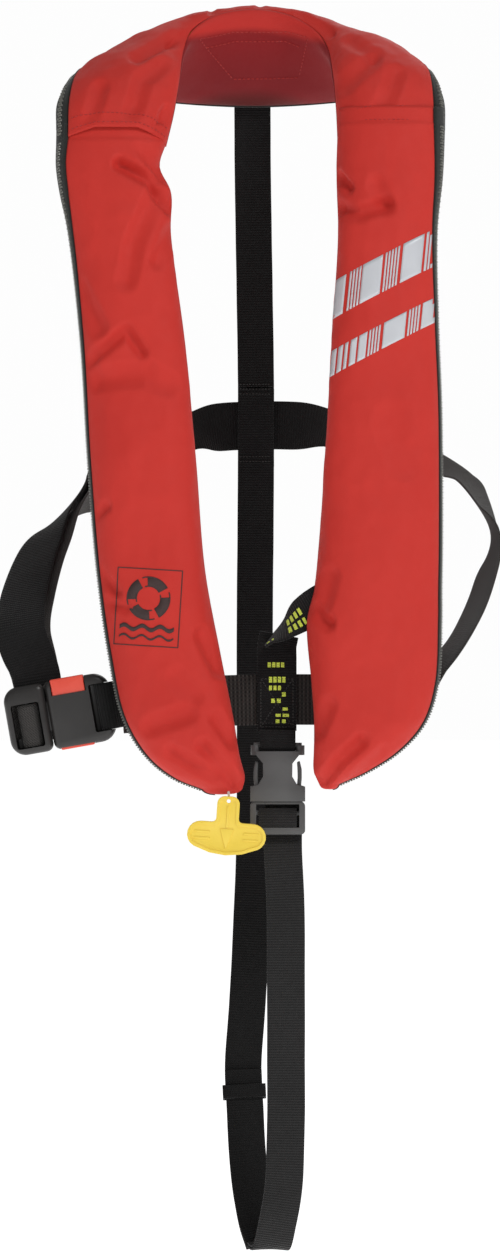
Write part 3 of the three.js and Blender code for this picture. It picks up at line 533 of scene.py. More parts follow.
# How the cloth lies: broad noise from the folded chamber, small puckers, and the folds that
# the hanging weight and the shoulders pull into it. Places are x and height.
LEFT_FOLDS = [
    ([(-101, -98), (-76, -111), (-62, -131)], 7, 4.5),
    ([(-86, -84), (-66, -108)], 6, 2.6),
    ([(-74, -122), (-90, -160), (-96, -190)], 9, 2.0),
    ([(-63, -150), (-72, -175)], 7, 1.8),
    ([(-128, -254), (-96, -229), (-84, -246)], 6, 2.6),
    ([(-118, -266), (-80, -262), (-64, -270)], 11, 2.2),
    ([(-133, -196), (-118, -226)], 9, 2.0),
    ([(-120, -372), (-112, -366)], 5, 2.0),
    ([(-116, -418), (-104, -432)], 6, 2.2),
    ([(-110, -440), (-96, -444)], 5, 1.6),
    ([(-36, -466), (-24, -492)], 8, 2.4),
    ([(-48, -526), (-77, -536)], 9, 2.2),
    ([(-36, -552), (-10, -582)], 7, 2.6),
    ([(-26, -530), (-14, -548)], 7, 2.0),
    ([(-60, -556), (-28, -574)], 7, 2.0),
    ([(-56, -498), (-44, -512)], 9, 1.6),
]
RIGHT_FOLDS = [
    ([(68, -131), (84, -137), (106, -130)], 7, 2.6),
    ([(98, -114), (106, -132)], 8, 1.6),
    ([(68, -106), (76, -116)], 5, 2.4),
    ([(48, -446), (60, -456)], 7, 3.0),
    ([(62, -420), (56, -440)], 9, 1.8),
    ([(56, -580), (70, -562), (86, -548)], 7, 2.6),
    ([(52, -540), (60, -520)], 8, 1.6),
    ([(84, -575), (104, -556)], 7, 1.6),
    ([(110, -300), (120, -330)], 16, 1.2),
]
YOKE_FOLDS = [
    ([(-124, -62), (-118, -36)], 8, 1.8),
    ([(-92, -60), (-84, -28), (-70, -14)], 9, 2.0),
    ([(-72, -72), (-64, -52)], 6, 2.0),
    ([(-90, -8), (-62, 14)], 7, 2.2),
    ([(-60, 10), (-36, 26)], 6, 1.8),
    ([(-30, 40), (-8, 30)], 5, 1.8),
    ([(8, 44), (28, 30)], 5, 1.6),
    ([(40, 34), (62, 20)], 7, 2.0),
    ([(74, -30), (96, -12)], 9, 1.8),
    ([(104, -50), (114, -24)], 9, 1.6),
    ([(80, 8), (98, -6)], 8, 1.6),
]


def lie_of(folds, seed, broad, fine, middling=1.2, strength=2.3):
    """Dents of a panel (mm): noise of three sizes, and its folds."""
    def dents(points):
        push = broad * cloudy(points * (1, 1, 0.6), 46, seed) + fine * cloudy(points, 11, seed + 9)
        push += middling * cloudy(points * (1, 1, 0.7), 24, seed + 3)
        for line, width, depth in folds:
            push += strength * crease(points, line, width, depth)
        return push

    return dents


red_cloth = woven("cover_cloth", paint(186, 40, 34), paint(212, 57, 47), 0.0007, 0.0007, roughness=0.62,
                  depth=0.25, sheen=0.03, cloud=9)
# The lining is the cover's red cloth; its darker colours are painted shade.
painted_shade_lining = woven("painted_shade_lining", paint(134, 26, 32), paint(160, 36, 40), 0.0007, 0.0007, roughness=0.72,
                     depth=0.3, sheen=0.1, cloud=12)


def front_angles(cut):
    return cut[6], math.pi - SEAM


def back_angles(cut):
    return -cut[6], SEAM - math.pi


OUTER = (64, 2.8, 0.6)  # columns, broad dents and fine dents
LINING = (40, 1.1, 0.4)
PANELS = [
    ("cover_front_left", left_section, front_angles, LEFT_FOLDS, 11, 210, OUTER),
    ("cover_front_right", right_section, front_angles, RIGHT_FOLDS, 37, 210, OUTER),
    ("cover_collar", yoke_section, front_angles, YOKE_FOLDS, 71, 230, OUTER),
    ("cover_back_left", left_section, back_angles, [], 23, 130, LINING),
    ("cover_back_right", right_section, back_angles, [], 53, 130, LINING),
    ("cover_back_collar", yoke_section, back_angles, [], 83, 150, LINING),
]
covers = {}
cover_grids = {}
for node, section, angles, folds, seed, rows, (columns, broad, fine) in PANELS:
    lie = lie_of(folds, seed, broad, fine)
    covers[node], cover_grids[node] = cloth_panel(
        node + "_cloth", section, angles, rows, columns, lie, "collar" not in node
    )

for node, piece in covers.items():
    bm = bmesh.new()
    bm.from_mesh(piece.data)
    # Faces look away from the tube's middle line. Every 29th is enough to tell.
    grid = cover_grids[node]
    centre_line = (grid[:, 0] + grid[:, -1]) / 2 * MM
    facing = 0
    for face in list(bm.faces)[::29]:
        c = np.array(face.calc_center_median())
        near = centre_line[np.argmin(np.linalg.norm(centre_line - c, axis=1))]
        facing += float(np.dot(c - near, np.array(face.normal)))
    if facing < 0:
        bmesh.ops.reverse_faces(bm, faces=bm.faces[:])
    bm.to_mesh(piece.data)
    bm.free()

bare_covers = {node: piece.data.copy() for node, piece in covers.items()}
# On the yoke's inner face, painted shade darkens the cloth below the outer cloth that is rolled in
# over the neck edge, most towards its lower seam. The edge between them bows down to both sides,
# and beyond the neck, on the shoulders, the painted shade never gets as dark as at its seam.
LOWER_SEAM, ROLLED_TO, BOW, HALF_NECK = -0.028, 0.032, 0.016, 0.063
neck_painted_shade_cloth = woven("neck_lining_painted_shade", paint(180, 38, 34), paint(204, 54, 46), 0.0007, 0.0007, roughness=0.66,
                   depth=0.12, sheen=0.06, cloud=30)
tree = neck_painted_shade_cloth.node_tree
place = tree.nodes.new("ShaderNodeTexCoord")
axes = tree.nodes.new("ShaderNodeSeparateXYZ")
tree.links.new(place.outputs["Object"], axes.inputs["Vector"])
aside = sums(tree, "DIVIDE", axes.outputs["X"], HALF_NECK)
aside_squared = sums(tree, "MULTIPLY", aside, aside)
level = sums(tree, "MULTIPLY_ADD", sums(tree, "MINIMUM", aside_squared, 1.2), BOW, axes.outputs["Z"])
share = tree.nodes.new("ShaderNodeMapRange")
share.inputs["From Min"].default_value = LOWER_SEAM
share.inputs["From Max"].default_value = ROLLED_TO
tree.links.new(level, share.inputs["Value"])
beyond = sums(tree, "MINIMUM", sums(tree, "MULTIPLY_ADD", aside_squared, 0.8, -0.96), 0.4)
height = sums(tree, "MAXIMUM", share.outputs["Result"], beyond)
# Painted shade: the cloth's colour is multiplied by these tints, darkest at the lower seam and full on the
# rolled-in cloth.
SHADE_TINTS = [
    (0, (0.2, 0.3, 0.35, 1)), (0.22, (0.4, 0.28, 0.5, 1)),
    (0.83, (0.46, 0.24, 0.42, 1)), (0.96, (1, 1, 1, 1)),
]
shade_ramp = tree.nodes.new("ShaderNodeValToRGB")
shade_ramp.color_ramp.interpolation = "EASE"
for k, (at, tint) in enumerate(SHADE_TINTS):
    stop = shade_ramp.color_ramp.elements[k] if k < 2 else shade_ramp.color_ramp.elements.new(at)
    stop.position, stop.color = at, tint
tree.links.new(height, shade_ramp.inputs["Fac"])
shaded = tree.nodes.new("ShaderNodeMix")
shaded.data_type, shaded.blend_type = "RGBA", "MULTIPLY"
shaded.inputs["Factor"].default_value = 1
surface = tree.nodes["Principled BSDF"]
tree.links.new(surface.inputs["Base Color"].links[0].from_socket, shaded.inputs["A"])
tree.links.new(shade_ramp.outputs["Color"], shaded.inputs["B"])
tree.links.new(shaded.outputs["Result"], surface.inputs["Base Color"])

for node, piece in covers.items():
    apply(piece, "SOLIDIFY", thickness=CLOTH * MM, offset=-1)
    if node == "cover_back_collar":
        fitted(piece, neck_painted_shade_cloth, "root", "lining", node)
    elif "back" in node:
        fitted(piece, painted_shade_lining, "root", "lining", node)
    else:
        fitted(piece, red_cloth, "root", "cover", node)

# ---------------------------------------------------------------- zip
# The outer edge of the whole cover closes with a bursting zip: a dark tape, bowed outwards,
# with a moulded coil of teeth along it and a slider parked behind the neck.
zip_tape = woven("zip_tape", paint(18, 20, 18), paint(42, 44, 41), 0.0012, 0.0008, 0.5, roughness=0.75)
tooth_plastic, _ = new_shader("zip_teeth", paint(112, 112, 106), 0.45)


def zip_angles(cut):
    return ZIP_GAP - cut[6], cut[6] - ZIP_GAP


def read_line(at, run, table):
    """A line's place (or direction) at a distance along it."""
    return np.array([np.interp(at, run, table[:, i]) for i in range(3)])


def shell_piece(name, verts, faces, smooth=False):
    """A piece of many small closed shells, with every face turned outwards."""
    mesh = bpy.data.meshes.new(name)
    mesh.from_pydata(verts, [], faces)
    if smooth:
        smoothed(mesh)
    piece = link_mesh(name, mesh)
    bpy.ops.object.mode_set(mode="EDIT")
    bpy.ops.mesh.select_all(action="SELECT")
    bpy.ops.mesh.normals_make_consistent(inside=False)
    bpy.ops.object.mode_set(mode="OBJECT")
    return piece


TAPE_THICKNESS = 1.4
TOOTH_PITCH = 2.2
TEETH_COLUMN = 11  # the teeth run a little in front of the tape's outermost line
TOOTH_CORNERS = (
    (-1, -1, -1), (1, -1, -1), (1, 1, -1), (-1, 1, -1),
    (-0.7, -0.8, 1), (0.7, -0.8, 1), (0.7, 0.8, 1), (-0.7, 0.8, 1),
)
TOOTH_HALF = (0.75, 2.0, 0.8)  # half a tooth's size along the zip, across it and outwards
TOOTH_LIFT = 0.9
STAGGER = 0.5  # every other tooth sits this far to one side, the rest to the other
TOOTH_FACES = ((0, 3, 2, 1), (4, 5, 6, 7), (0, 1, 5, 4), (1, 2, 6, 5), (2, 3, 7, 6), (3, 0, 4, 7))
for node, section in (
    ("burst_zip_left", left_section),
    ("burst_zip_right", right_section),
    ("burst_zip_collar", yoke_section),
):
    is_lobe = node != "burst_zip_collar"
    piece, grid = cloth_panel(node + "_tape", section, zip_angles, 150, 14, None, is_lobe, (1, 1))
    apply(piece, "SOLIDIFY", thickness=TAPE_THICKNESS * MM, offset=0)
    fitted(piece, zip_tape, "root", "zip", node)
    line = grid[:, TEETH_COLUMN]
    side = grid[:, TEETH_COLUMN + 1] - grid[:, TEETH_COLUMN - 1]
    if is_lobe:
        # The teeth stop short of the lobe's tip and of the underlap.
        line, side = line[4:-6], side[4:-6]
    run = run_of(line)
    verts, faces = [], []
    for k in range(int(run[-1] / TOOTH_PITCH)):
        at = (k + 0.5) * TOOTH_PITCH
        place = read_line(at, run, line)
        along = unit(read_line(at + 1, run, line) - place)
        wide = read_line(at, run, side)
        wide = unit(wide - along * np.dot(wide, along))
        up = np.cross(along, wide)
        if np.dot(up, place - section(at / run[-1])[0]) < 0:
            up = -up
        shift = STAGGER if k % 2 else -STAGGER
        base = len(verts)
        for a, b, c in TOOTH_CORNERS:
            length, width, height = (size * half for size, half in zip((a, b, c), TOOTH_HALF))
            corner = place + along * length + wide * (width + shift) + up * (TOOTH_LIFT + height)
            verts.append(tuple(corner * MM))
        faces += [tuple(base + i for i in quad) for quad in TOOTH_FACES]
    fitted(shell_piece(node + "_teeth", verts, faces), tooth_plastic, "root", "zip")

# ---------------------------------------------------------------- stitching
# Seams are lockstitched in red thread: a double row above each chest hem of the yoke, and a
# trapezoid neck patch inside the collar, which is sewn on all round.
cloth_trees = {
    node: BVHTree.FromPolygons([v.co[:] for v in mesh.vertices], [p.vertices[:] for p in mesh.polygons])
    for node, mesh in bare_covers.items()
}
NEEDLE_START = -0.4  # in front of the whole jacket
NEEDLE_WAY = Vector((0, 1, 0))


def land(trees, x, z):
    """Where a needle from the front meets the cloth (mm), and the way the cloth faces there."""
    best = None
    for tree in trees:
        hit = tree.ray_cast(Vector((x * MM, NEEDLE_START, z * MM)), NEEDLE_WAY)
        if hit[0] is not None and (best is None or hit[3] < best[3]):
            best = hit
    if best is None:
        return None
    normal = best[1] if best[1].y < 0 else -best[1]
    return np.array(best[0]) / MM, np.array(normal)


BEAD = ((-0.5, 0.35), (-0.25, 1.0), (0.25, 1.0), (0.5, 0.35))  # a stitch's rings: along it, and size
SIDES = 6
STITCH_LIFT = 0.12  # how far a stitch stands off the cloth


def stitched(name, lines, material, slot, pitch=3.6, length=2.5, thick=0.42):
    """Rows of stitches: each is a small six-sided bead that lies along its line on the cloth."""
    verts, faces = [], []
    for line in lines:
        spots = np.array([p for p, _ in line])
        ways = np.array([n for _, n in line])
        run = run_of(spots)
        for k in range(int(run[-1] / pitch)):
            at = (k + 0.5) * pitch
            place = read_line(at, run, spots)
            along = unit(read_line(at + 0.6, run, spots) - place)
            way = read_line(at, run, ways)
            way = unit(way - along * np.dot(way, along))
            side = np.cross(along, way)
            base = len(verts)
            for share, girth in BEAD:
                for turn in range(SIDES):
                    c, s = math.cos(turn * math.tau / SIDES), math.sin(turn * math.tau / SIDES)
                    spot = place + along * share * length + (side * c + way * s) * thick * girth
                    spot = spot + way * STITCH_LIFT
                    verts.append(tuple(spot * MM))
            for ring in range(len(BEAD) - 1):
                for turn in range(SIDES):
                    a, b = base + ring * SIDES + turn, base + ring * SIDES + (turn + 1) % SIDES
                    faces.append((a, b, b + SIDES, a + SIDES))
            faces.append(tuple(base + SIDES - 1 - i for i in range(SIDES)))
            faces.append(tuple(base + (len(BEAD) - 1) * SIDES + i for i in range(SIDES)))
    fitted(shell_piece(name, verts, faces, smooth=True), material, "root", slot)


red_thread = woven("red_thread", paint(150, 34, 32), paint(188, 52, 47), 0.0009, 0.0006, 0.5)
hem_lines = []
for row in (2, 6, -3, -7):
    line = cover_grids["cover_collar"][row]
    centre = line.mean(0)
    hem_lines.append([(p, unit(p - centre) * (1, 1, 0.2)) for p in line[2:-3]])
stitched("yoke_hem_stitches", hem_lines, red_thread, "cover")


def lay_line(trees, corners, step=3.0):
    """A line over the cloth through corners given as x and height."""
    out = []
    for (x0, z0), (x1, z1) in zip(corners, corners[1:]):
        count = max(2, int(math.hypot(x1 - x0, z1 - z0) / step))
        out += [land(trees, x0 + (x1 - x0) * i / count, z0 + (z1 - z0) * i / count) for i in range(count)]
    out.append(land(trees, *corners[-1]))
    return [spot for spot in out if spot]


# The neck patch, on the wearer's side of the collar: top seam, a second seam, foot and sides.
PATCH_SEAMS = [
    [(-41, 17), (-14, 24), (30, 24), (47, 18)],
    [(-36, 11), (-12, 17), (28, 17), (42, 11)],
    [(-14, -11), (40, -10)],
    [(-41, 17), (-14, -11)],
    [(47, 18), (40, -10)],
]
all_trees = list(cloth_trees.values())
stitched("neck_patch_stitches", [lay_line(all_trees, seam) for seam in PATCH_SEAMS], red_thread, "cover")

# ---------------------------------------------------------------- reflective tapes
# Two silver tapes are bonded across the right lobe and rise outwards. Each is cut into blocks
# and groups of narrow bars, with the red cloth showing between.
silver_tape, surface = new_shader("silver_tape", paint(202, 204, 209), 0.42)
surface.inputs["Metallic"].default_value = 0.15
mist, places = clouded(silver_tape, 18)
tinted(silver_tape, paint(190, 192, 198), paint(214, 216, 220), mist.outputs["Tone"])
beads = silver_tape.node_tree.nodes.new("ShaderNodeTexVoronoi")
beads.inputs["Scale"].default_value = 900
silver_tape.node_tree.links.new(places.outputs["Object"], beads.inputs["Vector"])
embossed(silver_tape, beads.outputs["Distance"], 0.12, 0.0003)

SLOPE = math.radians(28.8)
TAPES = [  # height at the lobe's middle, width, and the bars' edges along the tape from its low end
    (-184, 27, [(-64, -52), (-50, -47), (-45.5, -42), (-40.5, -31), (-28, -26.5), (-25.5, -24), (-23, -21.5),
                (-20.5, -19), (-18, -2), (0, 1.5), (2.5, 4), (5, 6.5), (7.5, 9), (10, 11.5), (14, 31),
                (33, 35), (36, 37.5), (38.5, 40), (41, 42.5), (44, 70)]),
    (-233, 18, [(-64, -50), (-48, -45), (-43.5, -38), (-36.5, -33), (-31.5, -29), (-27, -22), (-20.5, -14),
                (-12.5, -11), (-10, -8.5), (-7.5, -6), (-5, -3.5), (-1, 17), (19, 20.5), (21.5, 23),
                (24, 25.5), (26.5, 28), (30, 70)]),
]
TAPE_MIDDLE = 104
ACROSS = 0.93  # how far across the lobe a millimetre of tape reaches
UPWARDS = 1.14  # a bar's height to the tape's width, since bars stand upright on a sloping tape
BAR_LEAN = 0.1
BAR_ROWS = 9
BAR_STEP = 1.6
TAPE_LIFT = 0.35


def laid_on(name, verts, faces, thickness, material):
    """A thin layer that is bonded to the cover."""
    mesh = bpy.data.meshes.new(name)
    mesh.from_pydata(verts, [], faces)
    smoothed(mesh)
    piece = link_mesh(name, mesh)
    apply(piece, "SOLIDIFY", thickness=thickness * MM, offset=-1)
    fitted(piece, material, "root", "cover")


verts, faces = [], []
right_tree = [cloth_trees["cover_front_right"]]
for level, width, bars in TAPES:
    for start, end in bars:
        columns = max(1, int((end - start) / BAR_STEP))
        spots = {}
        for i in range(columns + 1):
            for k in range(BAR_ROWS + 1):
                reach = (start + (end - start) * i / columns) * ACROSS
                z = level + reach * math.tan(SLOPE) + width * UPWARDS * (k / BAR_ROWS - 0.5)
                hit = land(right_tree, TAPE_MIDDLE + reach + BAR_LEAN * (z - level), z)
                if hit is not None:
                    spots[i, k] = len(verts)
                    verts.append(tuple((hit[0] + hit[1] * TAPE_LIFT) * MM))
        for i in range(columns):
            for k in range(BAR_ROWS):
                corners = [spots.get(q) for q in ((i, k), (i + 1, k), (i + 1, k + 1), (i, k + 1))]
                if None not in corners:
                    faces.append(tuple(corners))
laid_on("reflective_tapes", verts, faces, 0.3, silver_tape)

# ---------------------------------------------------------------- printed badge
# A black screen print low on the left lobe: a thin frame round a ring buoy over two waves.
print_ink, _ = new_shader("print_ink", paint(50, 38, 37), 0.7)
mist, _ = clouded(print_ink, 60)
tinted(print_ink, paint(42, 32, 32), paint(70, 46, 43), mist.outputs["Fine"])

BADGE = (-79, -444)
BADGE_TURN = math.radians(-3.5)
INK_LIFT = 0.3
badge_verts, badge_faces = [], []
left_tree = [cloth_trees["cover_front_left"]]


def printed_strip(edge_a, edge_b, closed=False):
    """Ink between two lines of the badge, each a list of x and height from its middle."""
    rows = []
    for (ax, az), (bx, bz) in zip(edge_a, edge_b):
        row = []
        for share in (0, 0.5, 1):
            x, z = ax + (bx - ax) * share, az + (bz - az) * share
            c, s = math.cos(BADGE_TURN), math.sin(BADGE_TURN)
            hit = land(left_tree, BADGE[0] + c * x - s * z, BADGE[1] + s * x + c * z)
            row.append(len(badge_verts))
            badge_verts.append(tuple((hit[0] + hit[1] * INK_LIFT) * MM))
        rows.append(row)
    if closed:
        rows.append(rows[0])
    for row, after in zip(rows, rows[1:]):
        for k in range(2):
            badge_faces.append((row[k], row[k + 1], after[k + 1], after[k]))


def box_line(half_x, half_z, parts=24):
    corners = [(-half_x, -half_z), (half_x, -half_z), (half_x, half_z), (-half_x, half_z), (-half_x, -half_z)]
    out = []
    for (x0, z0), (x1, z1) in zip(corners, corners[1:]):
        out += [(x0 + (x1 - x0) * i / parts, z0 + (z1 - z0) * i / parts) for i in range(parts)]
    return out


def round_line(radius, centre, first, last, count):
    angles = [first + (last - first) * i / count for i in range(count + 1)]
    return [(centre[0] + radius * math.cos(a), centre[1] + radius * math.sin(a)) for a in angles]


printed_strip(box_line(24.6, 29.4), box_line(25.3, 30.1), closed=True)
RING = (0, 7)
# A filled quarter of the ring, then the thin inner and outer edges of the gap before it:
# where each starts and how far it goes (degrees), its two radii, and its steps.
ARCS = ((32, 64, 9, 17, 20), (-20, 40, 9, 9.9, 12), (-20, 40, 16.1, 17, 12))
for quarter in range(4):
    for start, span, inside, outside, count in ARCS:
        first = math.radians(90 * quarter + start)
        last = first + math.radians(span)
        inner, outer = (round_line(radius, RING, first, last, count) for radius in (inside, outside))
        printed_strip(inner, outer)
WAVES = ((-17.5, 3.2), (-24, 1.6))  # height and thickness
WAVE_HALF, WAVE_PARTS, CREST, PARTS_PER_WAVE = 21, 40, 1.6, 13.3
for level, height in WAVES:
    wave = [
        (-WAVE_HALF + 2 * WAVE_HALF * i / WAVE_PARTS, level + CREST * math.sin(i * math.tau / PARTS_PER_WAVE))
        for i in range(WAVE_PARTS + 1)
    ]
    printed_strip(wave, [(x, z + height) for x, z in wave])
laid_on("printed_badge", badge_verts, badge_faces, 0.2, print_ink)

# ---------------------------------------------------------------- webbing
# Woven polyester tape, 1.8 mm thick: 40 mm round the waist and 30 mm down the back, between
# the legs and for lifting. Its edges are rounded selvedges and its face has fine cross ribs.
BELT = 40.0
STRAP = 30.0
WEB = 1.8
black_web = woven("black_webbing", paint(5, 5, 5), paint(21, 20, 20), 0.0021, 0.0016,
                  roughness=0.82, depth=0.7, sheen=0.12, cloud=14)
grey_web = woven("grey_webbing", paint(34, 33, 32), paint(74, 71, 69), 0.0019, 0.0024, 0.8,
                 roughness=0.85, depth=0.7, sheen=0.15, cloud=14)
strap_web = woven("strap_webbing", paint(17, 17, 17), paint(42, 41, 41), 0.0021, 0.0016,
                  roughness=0.82, depth=0.7, sheen=0.15, cloud=14)
dotted_web = woven("dotted_webbing", paint(13, 12, 12), paint(66, 61, 58), 0.0032, 0.0032,
                   roughness=0.85, depth=1.0, sheen=0.12, cloud=14)

SELVEDGE = ((0, 0.12), (0.25, 0.34), (0.9, 0.5))  # in from the edge, and half its share of the thickness


def band(name, rows, width, material, body="root", shift=0.0, steps=90, wave=0.25, seed=1,
         replaces=()):
    """Webbing along rows of a place and the way its width lies (mm)."""
    route = smooth_curve([row[:3] for row in rows])
    lean = smooth_curve([row[3:] for row in rows])
    half = width / 2
    # Half of the section, edge to edge along one face; the other face mirrors it.
    inmost, full = SELVEDGE[-1]
    face = [(-half + inward, n) for inward, n in SELVEDGE]
    face += [(x * (half - inmost), full) for x in np.linspace(-0.8, 0.8, 9)]
    face += [(half - inward, n) for inward, n in reversed(SELVEDGE)]
    section = face + [(x, -n) for x, n in reversed(face)]
    rings, flats, run, before = [], [], 0.0, None
    for i in range(steps + 1):
        t = i / steps
        place = route(t)
        along = unit(route(min(t + 1e-3, 1)) - route(max(t - 1e-3, 0)))
        across = lean(t)
        across = unit(across - along * np.dot(across, along))
        out = np.cross(along, across)
        if before is not None:
            run += float(np.linalg.norm(place - before))
        before = place
        # The band wanders a little sideways, and its face curls a little across its width.
        ripple = wave * noise.noise(Vector((run / 38, seed * 7.3, 0)))
        ring, flat = [], []
        for x, n in section:
            curl = wave * noise.noise(Vector((run / 26, x / 16, seed * 3.1)))
            ring.append(place + across * (x + ripple) + out * (n * WEB + shift + curl))
            flat.append((x + half, run))
        rings.append(ring)
        flats.append(flat)
    piece = grid_piece(name, np.array(rings), np.array(flats), closed=True)
    bm = bmesh.new()
    bm.from_mesh(piece.data)
    ends = [e for e in bm.edges if e.is_boundary]
    bmesh.ops.holes_fill(bm, edges=ends)
    bmesh.ops.recalc_face_normals(bm, faces=bm.faces[:])
    bm.to_mesh(piece.data)
    bm.free()
    bpy.ops.object.shade_smooth_by_angle(angle=math.radians(50))
    piece.data.materials.append(material)
    if body:
        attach(piece, body)
    if replaces:
        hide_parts(*replaces)
    return piece


band(
    "belt_front_web",
    [(-101, -72, -523, 0, 0, 1), (-80, -66.5, -521, 0, 0, 1), (-40, -63, -518, 0, 0, 1),
     (20, -63, -516.5, 0, 0, 1), (80, -63, -515.5, 0, 0, 1), (118, -61, -509, 0.1, 0, 1)],
    BELT, dotted_web, replaces=["belt_front"], seed=2,
)
band(
    "belt_right_web",
    [(114, -62.8, -511.5, 0.1, 0.1, 1), (126, -60.5, -504, 0.05, 0.25, 1),
     (136, -61.5, -497.5, -0.05, 0.55, 0.8), (148, -61.5, -488, -0.2, 0.88, 0.35),
     (160, -59.5, -476, -0.25, 0.95, 0.15), (176, -53, -449, -0.28, 0.95, 0.1),
     (188, -38, -418, -0.28, 0.95, 0.05), (194, -20, -393, -0.12, 0.98, 0),
     (191, 3, -371, 0.2, 0.97, 0.05), (179, 35, -344, 0.25, 0.93, 0.15),
     (169, 49, -335, 0.2, 0.92, 0.25), (156, 59, -328, 0.1, 0.88, 0.42), (126, 74, -315, 0, 0.7, 0.72)],
    BELT, grey_web, replaces=["belt_right"], seed=3, steps=140,
)
band(
    "belt_back_web",
    [(131, 73.2, -318.2, 0, 0.7, 0.72), (119, 77, -313, 0, 0.7, 0.72), (66, 87, -295, 0, 0.62, 0.78),
     (30, 92.8, -292, 0, 0, 1), (5, 93.5, -292, 0, 0, 1), (-20, 93, -293, 0, 0, 1),
     (-48, 88, -297, 0, 0.62, 0.78), (-90, 79, -311, -0.1, 0.5, 0.85), (-108, 73, -327, 0.1, 0.25, 0.95),
     (-122, 60.5, -345, 0.5, 0.1, 0.87), (-131, 54.5, -352.5, 0.6, 0, 0.8)],
    BELT, black_web, replaces=["belt_back"], seed=4, wave=0.15,
)
LEFT_RUN = [
    (-113, 64, -341, 0.45, 0.1, 0.9), (-131, 52, -352, 0.6, 0, 0.8), (-150, 26, -373, 0.72, -0.1, 0.68),
    (-163, 5, -397, 0.85, -0.1, 0.45), (-174.5, -36, -438, 0.95, -0.15, 0.25),
    (-177, -58, -466, 0.98, -0.2, 0.1), (-169.5, -65, -497, 0.9, 0.35, 0), (-167, -65.5, -511, 0.85, 0.5, 0),
]
left_run_web = band("belt_left_run_web", LEFT_RUN, BELT, grey_web, body=None, seed=5, wave=0.2,
                    replaces=["belt_left_run"])
LEFT_TAIL = [
    (x - k * a, y - k * b, z - k * c, a, b, c)
    for (x, y, z, a, b, c), k in zip(LEFT_RUN, (0, 2, 4, 6, 5, 3, 1, 1))
]
left_tail_web = band("belt_left_tail_web", LEFT_TAIL, BELT, black_web, body=None, shift=5, seed=6, wave=0.3,
                     replaces=["belt_left_tail"])
for piece in (left_run_web, left_tail_web):
    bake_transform(piece)


def facing_front(*points):
    """Rows of a band that lies with its width straight across the jacket."""
    return [(*point, 1, 0, 0) for point in points]


band(
    "back_strap_web",
    facing_front((2, 77.5, -20), (2, 79, -32), (2.5, 84, -100), (4, 88, -190), (5, 89.5, -260)),
    STRAP, black_web, replaces=["back_strap"], seed=7,
)
band(
    "belt_loop_web",
    facing_front((5, 94, -258), (5, 98.4, -270), (5, 98.4, -314), (5, 94, -326)),
    STRAP, black_web, replaces=["belt_loop"], seed=8, steps=40, wave=0.1,
)

# The crotch strap: a rear run from the waist down, a turn between the legs, and a front run up
# to the ladder lock. Its tail comes back through the lock and lies behind the front run.
REAR_RUN = facing_front(
    (5, 89.5, -262), (5, 89.8, -330), (4, 89, -450), (4, 83, -580), (3, 70.5, -660), (-2, 52, -764),
    (-5.5, 39, -821), (-4, 29, -851.5), (-2.5, 19, -882),
)
HEM = REAR_RUN[-3:-1]  # where the tail is sewn down
LOOP = [
    REAR_RUN[-1], (0.5, 8.5, -910, 1, 0, 0), (5.5, -2, -938, 1, 0.05, 0), (11.5, -14, -955, 1, 0.05, 0),
    (17, -27, -955, 1, 0.05, 0), (22, -38, -934, 1, 0.05, 0), (27, -46, -900, 1, 0, 0),
]
FRONT_RUN = facing_front(
    (28.4, -53, -850), (28.4, -61, -760), (28, -68, -680), (26, -69.5, -634), (26, -63.9, -622),
    (26.3, -65, -606), (26.5, -65, -591),
)
TAIL_GAP = 2.6  # from the strap's middle to its tail's
band("crotch_strap_web", REAR_RUN[:-1] + LOOP[:4], STRAP, black_web, seed=9, steps=240,
     replaces=["crotch_strap_rear", "crotch_strap_loop"])
crotch_front = band("crotch_strap_front_web", LOOP[3:] + FRONT_RUN, STRAP, strap_web, body=None, seed=10,
                    steps=150, replaces=["crotch_strap_front"])
crotch_tail = band("crotch_strap_tail_web", LOOP[3:] + FRONT_RUN[:-2], STRAP, strap_web, body=None, seed=10,
                   steps=150, shift=TAIL_GAP, replaces=["crotch_strap_tail"])
band("crotch_tail_end_web", HEM + LOOP[:4], STRAP, black_web, seed=10, steps=80, shift=TAIL_GAP)
for piece in (crotch_front, crotch_tail):
    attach(piece, "root")
    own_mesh(piece)
# ---------------------------------------------------------------- lift strap
# The lifting strap comes out of the right lobe, folds forwards and down, and is sewn over the
# belt with a boxed cross. Bright green dashes and bars are woven into its face.
lime_thread = woven("lime_thread", paint(196, 220, 50), paint(228, 240, 110), 0.0016, 0.0012, 0.3, 0.7, 0.6)
LIFT_X = 21.2
LIFT_FACE = -66.6
UPPER = [
    (12.5, -78, -473.5, 0, 1, 0.05), (20, -79, -466.7, 0, 0.96, 0.27), (30, -84, -459, -0.2, 0.8, 0.54),
    (41, -89, -449.5, -0.3, 0.3, 0.89), (52, -94, -442, -0.3, 0, 0.93), (62, -95, -436, -0.3, 0, 0.93),
]
LOWER = [(LIFT_X, LIFT_FACE, z, 1, 0, 0) for z in (-541, -520, -500, -484, -474)]
LOWER += [(23, -68, -465, 0.92, 0, 0.39)]
band("lift_strap_lower_web", LOWER, 31, black_web, seed=12, steps=40, wave=0.1, replaces=["lift_strap_lower"])
band("lift_strap_upper_web", UPPER, 28, black_web, seed=13, steps=60, wave=0.2, replaces=["lift_strap_upper"])


def unwrapped(piece, lean=1):
    """A UV map straight from the place: across in x, along in height, and in depth by lean."""
    uv = piece.data.uv_layers.new(name="flat_pattern")
    for loop in piece.data.loops:
        spot = piece.data.vertices[loop.vertex_index].co
        uv.data[loop.index].uv = (spot.x, spot.z + lean * spot.y)


